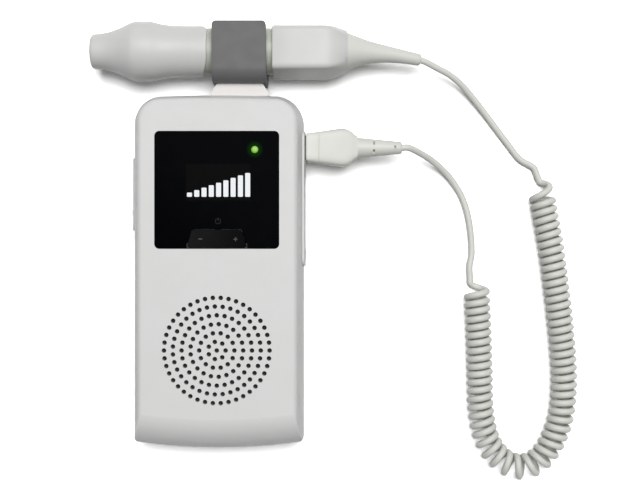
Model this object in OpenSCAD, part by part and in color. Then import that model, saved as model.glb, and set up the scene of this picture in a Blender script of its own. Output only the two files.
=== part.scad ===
// Pocket vascular doppler: a handset lying on its back, its probe in a fork clip, and its curly cord.
// Millimetres. The origin is the middle of the handset's flat back, +Y runs towards the clip
// and +Z out of the front face.

/* [Handset] */
// Width of the handset
body_w = 70; // [66:0.5:80]
// Length of the handset on its centre line
body_l = 146; // [142:1:160]
// Thickness of the handset
body_t = 28; // [27:0.5:34]
// Wall of the two moulded shells
wall = 2.2; // [2:0.1:2.6]
// Height above the back at which the sides are widest and the shells meet
belt_z = 13; // [12.5:0.1:13.4]
// Radius of the bulge of the sides
side_r = 40; // [36:1:80]
// Radius of the top corners, seen from the front
top_corner_r = 12; // [10:0.5:16]
// Radius of the bottom corners, seen from the front
bottom_corner_r = 3; // [2:0.5:6]
// Rise of the bowed top end over its corners
top_bow = 1; // [0.5:0.1:3]
// Rise of the bowed bottom end over its corners
bottom_bow = 2.6; // [1:0.1:4]
// Radius of the edge round the front face
front_edge_r = 2.5; // [2:0.1:4]
// Radius of the edge round the back
back_edge_r = 2; // [1:0.1:3]
// Radius with which the front face rolls over into the bottom end
roll_r = 14.4; // [8:0.2:14.4]
// Depth of the tongue that joins the shells inside the belt line
tongue_h = 1.4; // [1:0.1:2]
// Depth of the shadow grooves round the belt line and the plug's collar
groove_depth = 0.35; // [0.2:0.05:0.5]
// Height of the shadow grooves
groove_h = 0.4; // [0.3:0.1:0.6]
// Thickness of the ribs inside the shells
rib_t = 1.2; // [0.8:0.1:1.6]
// Height of the ribs across the inside of the back
rib_h = 2; // [1:0.5:4]

// Distance from the inside of the front face down to the main board
board_depth = 8.2; // [8:0.1:9]
// Thickness of the main board
board_t = 1.6; // [1:0.1:1.6]
// Radius of the screw posts inside the shells
post_r = 3; // [2.6:0.1:3.2]
// Radius of the case screws
screw_r = 1.25; // [1:0.05:1.5]
// Distance of the screw posts from the sides of the handset
post_in = 8; // [7.5:0.1:9]

/* [Window and display] */
// Width of the black window
window_w = 50.2; // [44:0.1:54]
// Height of the black window
window_h = 47.4; // [44:0.1:52]
// Thickness of the window
window_t = 1.2; // [0.8:0.1:1.3]
// Corner radius of the window
window_r = 2; // [1:0.5:5]
// Middle of the window, up from the middle of the handset
window_y = 33.2; // [31:0.1:35]
// Width of the display module
display_w = 43; // [30:0.5:45]
// Height of the display module
display_h = 22; // [16:0.5:24]
// Thickness of the display module
display_t = 4.6; // [3:0.1:5]
// Distance of the status light from the window's middle, sideways
light_x = 15.3; // [5:0.1:20]
// Radius of the status light
light_r = 1.4; // [0.8:0.1:2]

/* [Rocker key] */
// Width of the rocker key along its lower edge
rocker_w = 24; // [20:0.5:30]
// Width of the rocker key along its upper edge
rocker_top_w = 20; // [18:0.5:28]
// Height of the rocker key, seen from the front
rocker_h = 7.4; // [6:0.1:9]
// How far the rocker key stands out of the front face
rocker_proud = 0.7; // [0.4:0.1:1.5]
// Tilt of the rocker key to either side, degrees
rocker_tilt = 3; // [2:0.5:4]
// Radius of the rocker key's pivot
pivot_r = 1; // [0.8:0.1:1.2]
// Distance of each key dome from the pivot
dome_x = 8; // [6:0.5:9]

/* [Speaker] */
// Distance of the speaker's middle below the middle of the handset
speaker_drop = 31.6; // [28:0.1:33]
// Distance from one ring of grille holes to the next
grille_pitch = 3.55; // [3:0.05:3.6]
// Radius of one grille hole
grille_hole_r = 0.95; // [0.6:0.05:1.1]
// Number of rings of grille holes
grille_rings = 6; // [3:1:6]
// Number of holes in the first ring, and added in each further ring
grille_step = 7; // [5:1:7]
// Radius of the speaker's frame
speaker_r = 23; // [22.4:0.1:24]
// Depth of the speaker
speaker_t = 5.4; // [4:0.1:6]
// Thickness of the mesh behind the grille
mesh_t = 0.4; // [0.2:0.1:0.6]

/* [Side key] */
// Length of the key in the left side
side_key_l = 30; // [20:0.5:34]
// Height of the key in the left side
side_key_h = 8; // [5:0.5:9]
// How far the side key stands out
side_key_proud = 0.8; // [0.5:0.1:1.5]
// Travel of the side key
side_key_travel = 0.6; // [0.3:0.1:0.8]
// Middle of the side key, up from the middle of the handset
side_key_y = 32; // [26:0.5:36]

/* [Side panel and sockets] */
// Length of the raised panel in the right side
panel_l = 55.5; // [52:0.5:58]
// Height of the raised panel
panel_h = 14; // [12:0.5:15]
// How far the raised panel stands out
panel_proud = 0.7; // [0.3:0.1:1.2]
// Middle of the panel, up from the middle of the handset
panel_y = 30.2; // [28:0.1:31]
// Distance of the probe socket's middle from the panel's upper end
socket_in = 6.45; // [6.4:0.05:8]
// Distance of the earphone socket's middle from the panel's lower end
phone_in = 4.75; // [4.2:0.05:8]
// Radius of the earphone socket's bore, for a 3.5 mm plug
phone_r = 1.8; // [1.5:0.05:2]
// Depth of the earphone socket's bore
phone_depth = 15; // [12:0.5:17]

/* [Batteries] */
// Radius of an AA cell
cell_r = 7.25; // [7:0.05:7.3]
// Length of an AA cell with its cap
cell_l = 50.5; // [48:0.1:50.5]
// Thickness of the battery door
door_t = 2.2; // [1.8:0.1:2.4]
// Width of the battery door
door_w = 34; // [33:0.5:38]
// Wall of the battery bay
bay_wall = 1.3; // [1:0.1:1.6]
// Wire of the battery springs
spring_wire = 0.8; // [0.6:0.1:0.9]
// Turns of a battery spring
spring_turns = 2; // [2:1:3]
// Width of a battery contact
contact_w = 11; // [8:0.5:12]
// Width of the tabs with which the contacts are soldered to the main board
tab_w = 2; // [1:0.5:4]

/* [Small parts] */
// Side of the processor under the main board
chip_w = 12; // [8:0.5:14]
// Thickness of the processor
chip_t = 1.6; // [1:0.1:2]
// Radius of the can capacitors
can_r = 2.5; // [2:0.1:3]
// Height of the can capacitors
can_h = 6; // [4:0.5:6.5]
// Radius of the leads inside the handset and the probe
lead_r = 0.5; // [0.3:0.05:0.6]
// Thickness of the probe's board
probe_board_t = 1.2; // [0.8:0.1:1.6]

/* [Clip] */
// Distance of the clip's middle from the handset's centre line
clip_x = 8.7; // [0:0.1:9]
// Width of the fork clip
clip_w = 22; // [18:0.5:24]
// Thickness of each jaw of the fork
jaw_t = 2.8; // [2:0.1:3.2]
// Thickness of the fork behind the probe
clip_web = 4.4; // [4:0.1:6]
// How far the jaws reach past the probe's waist
jaw_reach = 1.1; // [0.5:0.1:3]
// Radius of the fork's edges next to the neck
clip_edge_r = 6; // [3:0.5:7]
// Width of the neck where it meets the handset
neck_w = 24; // [22:0.5:25]
// Width of the neck where it meets the fork
neck_top_w = 19; // [17:0.5:21]
// Length of the neck outside the handset
neck_l = 4.2; // [3:0.1:8]
// Thickness of the neck
neck_t = 14; // [11:0.5:16]
// Distance between the two screws of the clip
clip_screw_gap = 13; // [12:0.5:13.5]

/* [Probe] */
// Length of the probe without its strain relief
probe_l = 106.1; // [100:0.1:120]
// Height of the probe's axis above the table
probe_z = 14; // [14:0.1:16]
// Distance of the probe's tip to the left of the handset's centre line
probe_tip = 53.2; // [48:0.1:56]
// Radius of the front sleeve
sleeve_r = 10.5; // [10:0.1:11]
// Radius of the thickest ring of the nose
bulge_r = 12.4; // [12:0.1:13]
// Radius of the nose at its face
tip_r = 7.2; // [6:0.1:8]
// Radius of the recessed waist in the clip
waist_r = 9.6; // [9:0.1:9.8]
// Length of the recessed waist
waist_l = 26.8; // [25:0.1:29]
// Length of the grip behind the waist
grip_l = 30.8; // [28:0.1:36]
// Width of the grip
grip_w = 23.2; // [22:0.1:25]
// Width of the flat face of the grip
grip_flat_w = 17; // [14:0.5:19]
// Height of the grip's flat face above the probe's axis
grip_top = 11.6; // [10.5:0.1:12]
// Wall of the probe's shells
probe_wall = 1.8; // [1.4:0.1:2]
// Radius of the transducer window
lens_r = 5.6; // [4:0.1:5.8]

/* [Plug] */
// Length of the plug's grip
plug_l = 21.3; // [18:0.1:26]
// Width of the plug where it meets the handset
plug_w = 11.8; // [11.4:0.1:13]
// Greatest width of the plug
plug_max_w = 15.8; // [14:0.1:17]
// Thickness of the plug
plug_t = 10.4; // [9.6:0.1:12]
// Length of the collar at the foot of the plug
collar_l = 5; // [3:0.5:8]
// Length of the insert that goes into the socket
insert_l = 12; // [9:0.5:12]
// Width of the insert
insert_w = 9.6; // [8:0.1:9.8]
// Thickness of the insert
insert_t = 6.6; // [5:0.1:6.8]
// Length of the boot
boot_l = 18.5; // [15:0.5:24]
// Radius of the boot at the plug
boot_r = 4.3; // [4:0.1:5]
// Radius of the boot at the cord
boot_end_r = 2.5; // [2:0.1:3]

/* [Cord] */
// Diameter of the cord
cord_d = 2.8; // [2.4:0.1:2.8]
// Outer diameter of the curly part
curl_d = 11.3; // [9:0.1:11.4]
// Number of curls
curls = 58; // [40:1:58]

/* [Fits] */
// Gap round a moving part, and round a part that drops into a recess
run_gap = 0.2; // [0.1:0.05:0.25]
// Gap round the rocker key, wide enough for its tilt
key_gap = 0.3; // [0.25:0.05:0.4]
// Radial clearance of a pivot or a screw in its hole
pin_gap = 0.05; // [0.03:0.01:0.1]
// Clearance between parts that are seated in each other
seat_gap = 0.1; // [0.05:0.05:0.15]

/* [Hidden] */
$fn = 48;

shell_white = [0.86, 0.86, 0.84];
panel_white = [0.80, 0.81, 0.79];
gloss_black = [0.03, 0.03, 0.035];
clip_grey = [0.42, 0.42, 0.44];
cord_white = [0.80, 0.81, 0.78];
waist_grey = [0.66, 0.68, 0.64];
lens_blue = [0.55, 0.60, 0.66];
steel = [0.72, 0.73, 0.75];
brass = [0.80, 0.66, 0.36];
board_green = [0.10, 0.36, 0.20];
part_black = [0.10, 0.10, 0.11];
light_green = [0.25, 0.75, 0.30];
lead_red = [0.62, 0.12, 0.10];
cell_silver = [0.60, 0.63, 0.66];

// Each round of the handset's form crosses the face that it blends by this much, so that no two only touch
ease = 0.04;
// Tools and cuts run this far past what they cut
over = 2;
// Pieces that are one run this far into each other
join = 0.3;
// Farthest that the chords of a drawn arc lie from the true arc
arc_error = 0.02;

half_w = body_w / 2;
half_l = body_l / 2;
top_bow_r = (half_w * half_w + top_bow * top_bow) / (2 * top_bow);
bottom_bow_r = (half_w * half_w + bottom_bow * bottom_bow) / (2 * bottom_bow);
top_axis_y = half_l - top_bow_r;
bottom_axis_y = bottom_bow_r - half_l;
inner_front_z = body_t - wall;

function leg(long, short) = sqrt(long * long - short * short);
function unit(v) = v / norm(v);
function flat(p) = [p[0], p[1]];

// An outline whose corners are given as [x, y, radius], each arc drawn in chords
function rounded(corners) = [
    for (i = [0 : len(corners) - 1])
        let (
            n = len(corners),
            corner = flat(corners[i]),
            back = unit(flat(corners[(i + n - 1) % n]) - corner),
            ahead = unit(flat(corners[(i + 1) % n]) - corner),
            r = corners[i][2],
            half = acos(back * ahead) / 2,
            centre = corner + unit(back + ahead) * r / sin(half),
            start = corner + back * r / tan(half) - centre,
            turn = (cross(back, ahead) > 0 ? -1 : 1) * (180 - 2 * half),
            first = atan2(start[1], start[0]),
            steps = r == 0 ? 0 : ceil(abs(turn) / (2 * acos(1 - arc_error / r)))
        )
        each r == 0 ? [corner]
            : [for (k = [0 : steps], a = first + turn * k / steps) centre + r * [cos(a), sin(a)]]
];

// A rectangle with round corners, about its middle
function plate(w, h, r) = rounded([
    [-w / 2, -h / 2, r], [w / 2, -h / 2, r], [w / 2, h / 2, r], [-w / 2, h / 2, r]
]);

// A bar along X from x0 to x1, whose outline is drawn with Y to the right and Z up
module bar_x(x0, x1) {
    translate([x0, 0, 0]) rotate([90, 0, 90]) linear_extrude(x1 - x0) children();
}

// A bar along Y from y0 to y1, whose outline is drawn with X to the right and Z up
module bar_y(y0, y1) {
    translate([0, y1, 0]) rotate([90, 0, 0]) linear_extrude(y1 - y0) children();
}

// A round rod along X or Y
module rod_x(x0, x1, y, z, r) {
    translate([x0, y, z]) rotate([0, 90, 0]) cylinder(h = x1 - x0, r = r);
}

module rod_y(y0, y1, x, z, r) {
    translate([x, y0, z]) rotate([-90, 0, 0]) cylinder(h = y1 - y0, r = r);
}

module rod_z(z0, z1, x, y, r) {
    translate([x, y, z0]) cylinder(h = z1 - z0, r = r);
}

module block(x0, x1, y0, y1, z0, z1) {
    translate([x0, y0, z0]) cube([x1 - x0, y1 - y0, z1 - z0]);
}

// What a round edge of radius r takes off a corner: c is the arc's centre, u and v point to its two ends
module edge_cut(c, r, u, v) {
    difference() {
        polygon([c, c + (r + 1) * u, c + (r + 1) * (u + v) / (1 + u * v), c + (r + 1) * v]);
        translate(c) circle(r);
    }
}

// Half of the handset's section, from the middle out to its bulging side at x = side.
// An inset gives the cavity's outline. Open, it runs past front and back, so that only the side is cut.
module rim(side, inset, front_r, back_r, open = true) {
    bulge_x = side - side_r;
    front_c = [bulge_x + leg(side_r - front_r, body_t - front_r - belt_z), body_t - front_r];
    back_c = [bulge_x + leg(side_r - back_r, belt_z - back_r), back_r];
    middle = [bulge_x, belt_z];
    low = open ? -over : inset;
    high = open ? body_t + over : body_t - inset;
    lift = open ? [0, ease] : [0, 0];
    difference() {
        intersection() {
            translate([0, low]) square([side - inset, high - low]);
            union() {
                translate(middle) circle(side_r - inset, $fn = 128);
                if (bulge_x > 0) translate([0, low]) square([bulge_x, high - low]);
            }
        }
        if (front_r > inset) edge_cut(front_c + lift, front_r - inset, [0, 1], unit(front_c - middle));
        if (back_r > inset) edge_cut(back_c - lift, back_r - inset, unit(back_c - middle), [0, -1]);
    }
}

// The whole section, as a bar along Y
module side_bar(inset, y0, y1) {
    bar_y(y0, y1) {
        rim(half_w, inset, front_edge_r, back_edge_r, open = false);
        mirror([1, 0]) rim(half_w, inset, front_edge_r, back_edge_r, open = false);
    }
}

// The bowed end of the handset, turned about the middle of its bow
module bowed_end(bow_r, axis_y, inset, front_r) {
    translate([0, axis_y, 0]) rotate_extrude($fn = 256) rim(bow_r, inset, front_r, back_edge_r);
}

// What the two round corners at one end of the handset take off
module corner_cuts(r, bow_r, axis_y, inset, front_r, back_r) {
    away = axis_y < 0 ? 1 : -1;
    cx = half_w - r;
    cy = axis_y + away * leg(bow_r - r, cx);
    for (side = [0, 1]) mirror([side, 0, 0])
        translate([cx + ease, cy + away * ease, 0]) mirror([0, away < 0 ? 1 : 0, 0])
            rotate_extrude(angle = 90) difference() {
                translate([0, -over - 1]) square([1.5 * r + over, body_t + 2 * over + 2]);
                rim(r, inset, front_r, back_r);
            }
}

// The handset's outer form, or its cavity when inset by the wall
module body_form(inset) {
    difference() {
        intersection() {
            side_bar(inset, -half_l - over, half_l + over);
            bowed_end(top_bow_r, top_axis_y, inset, front_edge_r);
            bowed_end(bottom_bow_r, bottom_axis_y, inset, roll_r);
        }
        corner_cuts(top_corner_r, top_bow_r, top_axis_y, inset, front_edge_r, back_edge_r);
        corner_cuts(bottom_corner_r, bottom_bow_r, bottom_axis_y, inset, 0, 0);
    }
}

// Places inside the handset
board_top = inner_front_z - board_depth;
board_low = board_top - board_t;
post_x = half_w - post_in;
post_ys = [half_l - 10.5, 19 - half_l];
case_posts = [for (x = [-post_x, post_x], y = post_ys) [x, y]];
head_r = 2 * screw_r;
head_h = 1.7;
head_depth = 2.4;
cross_l = 1.1 * head_r;
cross_w = 0.24 * head_r;
socket_y = panel_y + panel_l / 2 - socket_in;
phone_y = panel_y - panel_l / 2 + phone_in;
socket_wall = 1.8;
socket_floor = 2.4;
socket_back = half_w + panel_proud + run_gap - insert_l - 1;
socket_w = insert_w + 2 * socket_wall;
socket_t = insert_t + 4.4;
board_edge = half_w - 5.5;
board_low_end = -8;
notch_x = socket_back - socket_floor - 0.6;
notch_y = socket_y - socket_w / 2 - 0.4;
board_posts = [for (x = [-1, 1], y = [notch_y - 4.5, board_low_end + 4]) [x * (board_edge - 3.5), y]];
board_post_r = 2.2;
board_screw_r = 1;
window_depth = window_t + seat_gap;
window_low = window_y - window_h / 2;
display_y = window_y + 2.3;
light_y = window_y + 16.3;
speaker_y = -speaker_drop;
speaker_top = inner_front_z - mesh_t;
collar_r = speaker_r + seat_gap;
collar_h = 3;
collar_t = 1.2;

// Holes that both shells share round the side key, the side panel and the neck's seat
side_key_in = half_w - wall - 1.8;
panel_in = half_w - wall - 2.2;
side_hole_r = 3;
flange_t = 1.1;
flange_rim = 1.2;
phone_wall = 1.1;
neck_seat_y = half_l - 0.8;

module side_cuts() {
    translate([0, side_key_y, belt_z]) bar_x(-half_w - over, -half_w + wall + 1)
        polygon(plate(side_key_l + 2 * run_gap, side_key_h + 2 * run_gap, side_hole_r));
    translate([0, panel_y, belt_z]) bar_x(half_w - wall - 1, half_w + over)
        polygon(plate(panel_l + 2 * seat_gap, panel_h + 2 * seat_gap, side_hole_r));
    block(clip_x - neck_w / 2 - seat_gap, clip_x + neck_w / 2 + seat_gap, neck_seat_y, half_l + over,
        belt_z - neck_t / 2 - seat_gap, belt_z + neck_t / 2 + seat_gap);
}

// Rocker key: it stands in a notch in the window's lower edge
rocker_y = window_low + key_gap;
pivot_z = inner_front_z - 1.4;
ear_t = 1.4;
ear_half = pivot_r + 1.4;
ear_gap = key_gap + 0.1;
ears_y0 = rocker_y - ear_gap - ear_t;
ears_y1 = rocker_y + rocker_h + ear_gap + ear_t;
cap_low = inner_front_z - 0.8;
cap_top = body_t + rocker_proud;
dish_r = 130;
dome_y = rocker_y + rocker_h / 2;
dome_top = board_top + 3.7;
press_r = 1.4;
post_low = dome_top + (dome_x + press_r) * tan(rocker_tilt) + 0.05;

function rocker_outline(grow) = rounded([
    [-rocker_w / 2 - grow, -grow, 1 + grow],
    [rocker_w / 2 + grow, -grow, 1 + grow],
    [rocker_top_w / 2 + grow, rocker_h + grow, 1.6 + grow],
    [-rocker_top_w / 2 - grow, rocker_h + grow, 1.6 + grow]
]);

// Grille: a middle hole, and rings that each hold one more step of holes than the last
grille = concat([[0, 0]], [
    for (ring = [1 : grille_rings], k = [0 : grille_step * ring - 1])
        grille_pitch * ring * [cos(360 * k / (grille_step * ring)), sin(360 * k / (grille_step * ring))]
]);

// Everything between two heights
module slab(z0, z1) {
    block(-half_w - over, half_w + over, -half_l - over, half_l + over, z0, z1);
}

// Ribs inside a shell, drawn as blocks and trimmed to reach a little way into its walls
module ribs() {
    intersection() {
        side_bar(wall - join, -half_l + over, half_l - over);
        children();
    }
}

// A rib from each screw post to the side of the handset
module post_ribs(z0, z1) {
    ribs() for (side = [0, 1], y = post_ys) mirror([side, 0, 0])
        block(post_x + post_r - join, half_w, y - rib_t / 2, y + rib_t / 2, z0, z1);
}

module front_shell() {
    color(shell_white) difference() {
        union() {
            difference() {
                body_form(0);
                body_form(wall);
                slab(-over, belt_z);
                // Shadow groove, where the two shells meet
                difference() {
                    slab(belt_z - 1, belt_z + groove_h);
                    body_form(groove_depth);
                }
            }
            for (p = case_posts) rod_z(belt_z, inner_front_z + join, p[0], p[1], post_r);
            post_ribs(belt_z + 3, inner_front_z + join);
            for (p = board_posts) rod_z(board_top, inner_front_z + join, p[0], p[1], board_post_r);
            // Collar round the speaker
            difference() {
                rod_z(speaker_top - collar_h, inner_front_z + join, 0, speaker_y, collar_r + collar_t);
                rod_z(speaker_top - collar_h - 1, inner_front_z, 0, speaker_y, collar_r);
            }
            // Ears for the rocker key's pivot
            for (y = [ears_y0, ears_y1 - ear_t])
                block(-ear_half, ear_half, y, y + ear_t, pivot_z - 2, inner_front_z + join);
        }
        translate([0, window_y, body_t - window_depth]) linear_extrude(over)
            polygon(plate(window_w + 2 * seat_gap, window_h + 2 * seat_gap, window_r));
        translate([0, display_y, inner_front_z - 1]) linear_extrude(over + 1)
            polygon(plate(display_w - 3, display_h - 3, 1));
        translate([0, rocker_y, inner_front_z - 1]) linear_extrude(wall) polygon(rocker_outline(key_gap));
        rod_z(inner_front_z - 1, body_t, light_x, light_y, light_r + seat_gap);
        rod_y(ears_y0 - 0.6, ears_y1 + 0.6, 0, pivot_z, pivot_r + pin_gap);
        for (p = grille) translate([p[0], speaker_y + p[1], inner_front_z - 0.5])
            cylinder(h = wall + 1, r = grille_hole_r, $fn = 20);
        for (p = case_posts) rod_z(belt_z - 1, inner_front_z - 3, p[0], p[1], screw_r + pin_gap);
        for (p = board_posts) rod_z(board_top - 1, inner_front_z - 1, p[0], p[1], board_screw_r + pin_gap);
        side_cuts();
    }
}

// Battery bay and door, and the ribs above the bay
back_rib_ys = [-2, 19, 40];
cell_play = 0.3;
cell_x = cell_r + cell_play / 2;
cell_z = door_t + cell_play + cell_r + 0.05;
bay_half = 2 * cell_r + 2 * cell_play;
contact_t = 0.5;
contact_h = 10;
spring_l = 3;
bay_bottom = wall + 3.2 - half_l;
bay_top = bay_bottom + cell_l + 2 * contact_t + spring_l + 0.1;
bay_end = bay_top + 2;
bay_ceiling = cell_z + cell_r + cell_play;
door_top = bay_top + 0.5;
tongue_w = 1.2;
tongue_t = 1;
tongue_end = door_top - 2;
door_cut = door_w / 2 + tongue_w + run_gap;
foot_top = door_t + run_gap + 1.2;
foot_x = door_cut + 2.4;
tab_z = board_low - 0.05 - contact_t;
tab_l = board_low_end + 2 - bay_top + contact_t;

module back_shell() {
    color(shell_white) difference() {
        union() {
            difference() {
                body_form(0);
                body_form(wall);
                slab(belt_z, body_t + over);
            }
            // Screw sleeves
            for (p = case_posts) rod_z(wall - 0.5, belt_z, p[0], p[1], post_r);
            // Tongue along the lower sides, inside the front shell's wall
            for (side = [0, 1]) mirror([side, 0, 0]) intersection() {
                difference() {
                    side_bar(wall + seat_gap, 14 - half_l, -over);
                    side_bar(wall + seat_gap + 0.9, 13 - half_l, 0);
                }
                block(half_w / 2, half_w, -half_l, 0, belt_z - 3, belt_z + tongue_h);
            }
            for (side = [0, 1]) mirror([side, 0, 0])
                block(half_w - wall - 0.9, half_w - wall + join, 14 - half_l, -over, belt_z - 3, belt_z - 1);
            post_ribs(wall - join, belt_z - 3);
            // Ribs across the inside of the back
            ribs() for (y = back_rib_ys)
                block(-half_w, half_w, y - rib_t / 2, y + rib_t / 2, wall - join, wall + rib_h);
            // Bay: two walls, two ends and a ceiling, on a foot along the door's opening
            difference() {
                block(-bay_half - bay_wall, bay_half + bay_wall, bay_bottom - bay_wall, bay_end,
                    door_t + run_gap, bay_ceiling + bay_wall);
                block(-bay_half, bay_half, bay_bottom, bay_top, 0, bay_ceiling);
            }
            for (side = [0, 1]) mirror([side, 0, 0]) {
                block(bay_half, foot_x, bay_bottom - bay_wall, bay_end, door_t + run_gap, foot_top);
                block(door_cut + 0.2, foot_x, bay_bottom - bay_wall, bay_end, wall - join, foot_top);
            }
            block(-bay_half, bay_half, door_top + 0.5, bay_end, wall - join, foot_top);
            // Pads for the clip's screws
            for (x = screw_xs) translate([x, 0, clip_screw_z])
                block(-pad_half, pad_half, pad_y, neck_seat_y - 0.5, -pad_half, pad_half);
        }
        // Opening for the door, with a slot for its tongues that is open at the bottom end
        block(-door_w / 2 - run_gap, door_w / 2 + run_gap, -half_l - over, door_top + run_gap,
            -over, door_t + run_gap);
        block(-door_cut, door_cut, -half_l - over, tongue_end, door_t - tongue_t - run_gap, door_t + run_gap);
        for (p = case_posts) {
            rod_z(-1, belt_z + 1, p[0], p[1], screw_r + run_gap);
            rod_z(-1, head_depth, p[0], p[1], head_r + run_gap);
        }
        for (x = screw_xs) rod_y(pad_y - 1, half_l, x, clip_screw_z, screw_r + pin_gap);
        // Slots in the end of the bay for the contacts' tabs
        for (x = [-cell_x, cell_x]) translate([x, 0, 0])
            block(-tab_w / 2 - run_gap, tab_w / 2 + run_gap, bay_top - 1, bay_end + 1,
                tab_z - run_gap, board_low + run_gap);
        side_cuts();
    }
}

module battery_door() {
    color(shell_white) difference() {
        union() {
            intersection() {
                bowed_end(bottom_bow_r, bottom_axis_y, 0, roll_r);
                block(-door_w / 2, door_w / 2, -half_l - over, door_top, 0, door_t);
            }
            block(-door_cut + run_gap, door_cut - run_gap, 9 - half_l, tongue_end - 2 * run_gap,
                door_t - tongue_t, door_t);
        }
        // Grip grooves under the thumb
        for (k = [0 : 4]) translate([0, door_top - 7 - 2 * k, 0]) block(-8, 8, -1, 0, -1, 0.5);
    }
}

module display_window() {
    color(gloss_black) difference() {
        translate([0, window_y, body_t - window_t]) linear_extrude(window_t)
            polygon(plate(window_w, window_h, window_r));
        translate([0, rocker_y, body_t - window_t - 1]) linear_extrude(window_t + 2) {
            polygon(rocker_outline(key_gap));
            translate([-rocker_w / 2 - key_gap, -over]) square([rocker_w + 2 * key_gap, over + 2]);
        }
        rod_z(body_t - window_t - 1, body_t + 1, light_x, light_y, light_r + seat_gap);
    }
}

module display_module() {
    high = inner_front_z - seat_gap;
    leg_in = 3;
    color(part_black) translate([0, display_y, 0]) {
        difference() {
            translate([0, 0, high - display_t]) linear_extrude(display_t)
                polygon(plate(display_w, display_h, 1));
            translate([0, 0, high - 0.5]) linear_extrude(1) polygon(plate(display_w - 3, display_h - 3, 0.5));
        }
        for (x = [-1, 1], y = [-1, 1])
            translate([x * (display_w / 2 - leg_in), y * (display_h / 2 - leg_in), board_top])
                cylinder(h = high - display_t - board_top + join, r = 1.2);
    }
}

module status_light() {
    color(light_green) {
        rod_z(inner_front_z - 0.6, body_t, light_x, light_y, light_r);
        rod_z(inner_front_z - 1.6, inner_front_z - seat_gap, light_x, light_y, light_r + 0.6);
    }
}

module rocker_key() {
    color(gloss_black) translate([0, rocker_y, 0]) {
        difference() {
            translate([0, 0, cap_low]) linear_extrude(cap_top - cap_low) polygon(rocker_outline(0));
            // Shallow dish across the top
            rod_y(-over, rocker_h + over, 0, cap_top + leg(dish_r, rocker_w / 2), dish_r, $fn = 360);
        }
        rod_y(ears_y0 - rocker_y, ears_y1 - rocker_y, 0, pivot_z, pivot_r);
        for (x = [-dome_x, dome_x]) rod_z(post_low, cap_low + join, x, rocker_h / 2, press_r);
    }
}

module key_domes() {
    side = 6;
    color(part_black) for (x = [-dome_x, dome_x]) translate([x, dome_y, board_top]) {
        translate([-side / 2, -side / 2, 0]) cube([side, side, dome_top - board_top - 0.4]);
        cylinder(h = dome_top - board_top, r = 1.8);
    }
}

module side_key() {
    pip_y = side_key_y - side_key_l / 4;
    pip_proud = 0.4;
    color(panel_white) {
        intersection() {
            side_bar(-side_key_proud, side_key_y - side_key_l, side_key_y + side_key_l);
            translate([0, side_key_y, belt_z]) bar_x(-half_w - over, -side_key_in)
                polygon(plate(side_key_l, side_key_h, side_hole_r - run_gap));
        }
        translate([0, side_key_y, belt_z]) bar_x(-side_key_in - flange_t, -side_key_in)
            polygon(plate(side_key_l + 2 * flange_rim, side_key_h + 2 * flange_rim, 3));
        // Raised pip near the lower end
        block(-half_w - side_key_proud - pip_proud, -half_w, pip_y - 1, pip_y + 1, belt_z - 2, belt_z + 2);
    }
}

module side_switch() {
    tip = -side_key_in + side_key_travel + 0.1;
    color(part_black) {
        block(tip + 0.6, tip + 4, side_key_y - 3, side_key_y + 3, board_low - 4.6, board_low);
        rod_x(tip, tip + 1, side_key_y, board_low - 2.5, 1);
    }
}

module main_board() {
    high_end = half_l - 16;
    color(board_green) difference() {
        translate([0, 0, board_low]) linear_extrude(board_t) polygon(rounded([
            [-board_edge, board_low_end, 1.5], [board_edge, board_low_end, 1.5], [board_edge, notch_y, 1],
            [notch_x, notch_y, 1], [notch_x, high_end, 1.5], [-board_edge, high_end, 1.5]
        ]));
        for (p = board_posts) rod_z(board_low - 1, board_top + 1, p[0], p[1], board_screw_r + pin_gap);
    }
}

// Chips under the main board, each [x, y, width, length, thickness]: the processor, its memory,
// the amplifier, the receiver and a choke
chips = [
    [0, display_y - 7.5, chip_w, chip_w, chip_t], [8, dome_y - 3, 8, 5, 1.2], [-16, dome_y - 3.5, 8, 8, 1.2],
    [-10, notch_y + 1.5, 8, 8, 1.4], [-19, display_y - 13.5, 6, 4, 2.5]
];
cans = [[12, display_y + 4.5], [12, display_y - 3.5]];
lamp_w = 3;
lamp_t = 1.2;
// Connector on the board for the speaker's leads
header_y = board_low_end + 2;
header_w = 10;
header_l = 5;
header_h = 4;

module board_parts() {
    color(part_black) {
        for (c = chips) translate([c[0] - c[2] / 2, c[1] - c[3] / 2, board_low - c[4]])
            cube([c[2], c[3], c[4]]);
        for (p = cans) rod_z(board_low - can_h, board_low, p[0], p[1], can_r);
        translate([light_x - lamp_w / 2, light_y - lamp_w / 2, board_top]) cube([lamp_w, lamp_w, lamp_t]);
        block(-header_w / 2, header_w / 2, header_y, header_y + header_l, board_top, board_top + header_h);
    }
}

magnet_r = 9;
frame_depth = speaker_t - 2;

module speaker() {
    rim_t = 1.2;
    color(part_black) translate([0, speaker_y, speaker_top]) rotate_extrude() polygon([
        [0, -1.6], [3, -1.9], [5.5, -2.9], [speaker_r - 4.5, -1.2], [speaker_r - 2.6, -0.4],
        [speaker_r - 1.8, -0.4], [speaker_r - 1.6, 0], [speaker_r, 0], [speaker_r, -rim_t],
        [speaker_r - 2, -rim_t], [speaker_r - 6, -frame_depth], [magnet_r, -frame_depth],
        [magnet_r, -speaker_t], [0, -speaker_t]
    ]);
}

module speaker_mesh() {
    color(part_black) rod_z(speaker_top, inner_front_z, 0, speaker_y, speaker_r - seat_gap);
}

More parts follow.
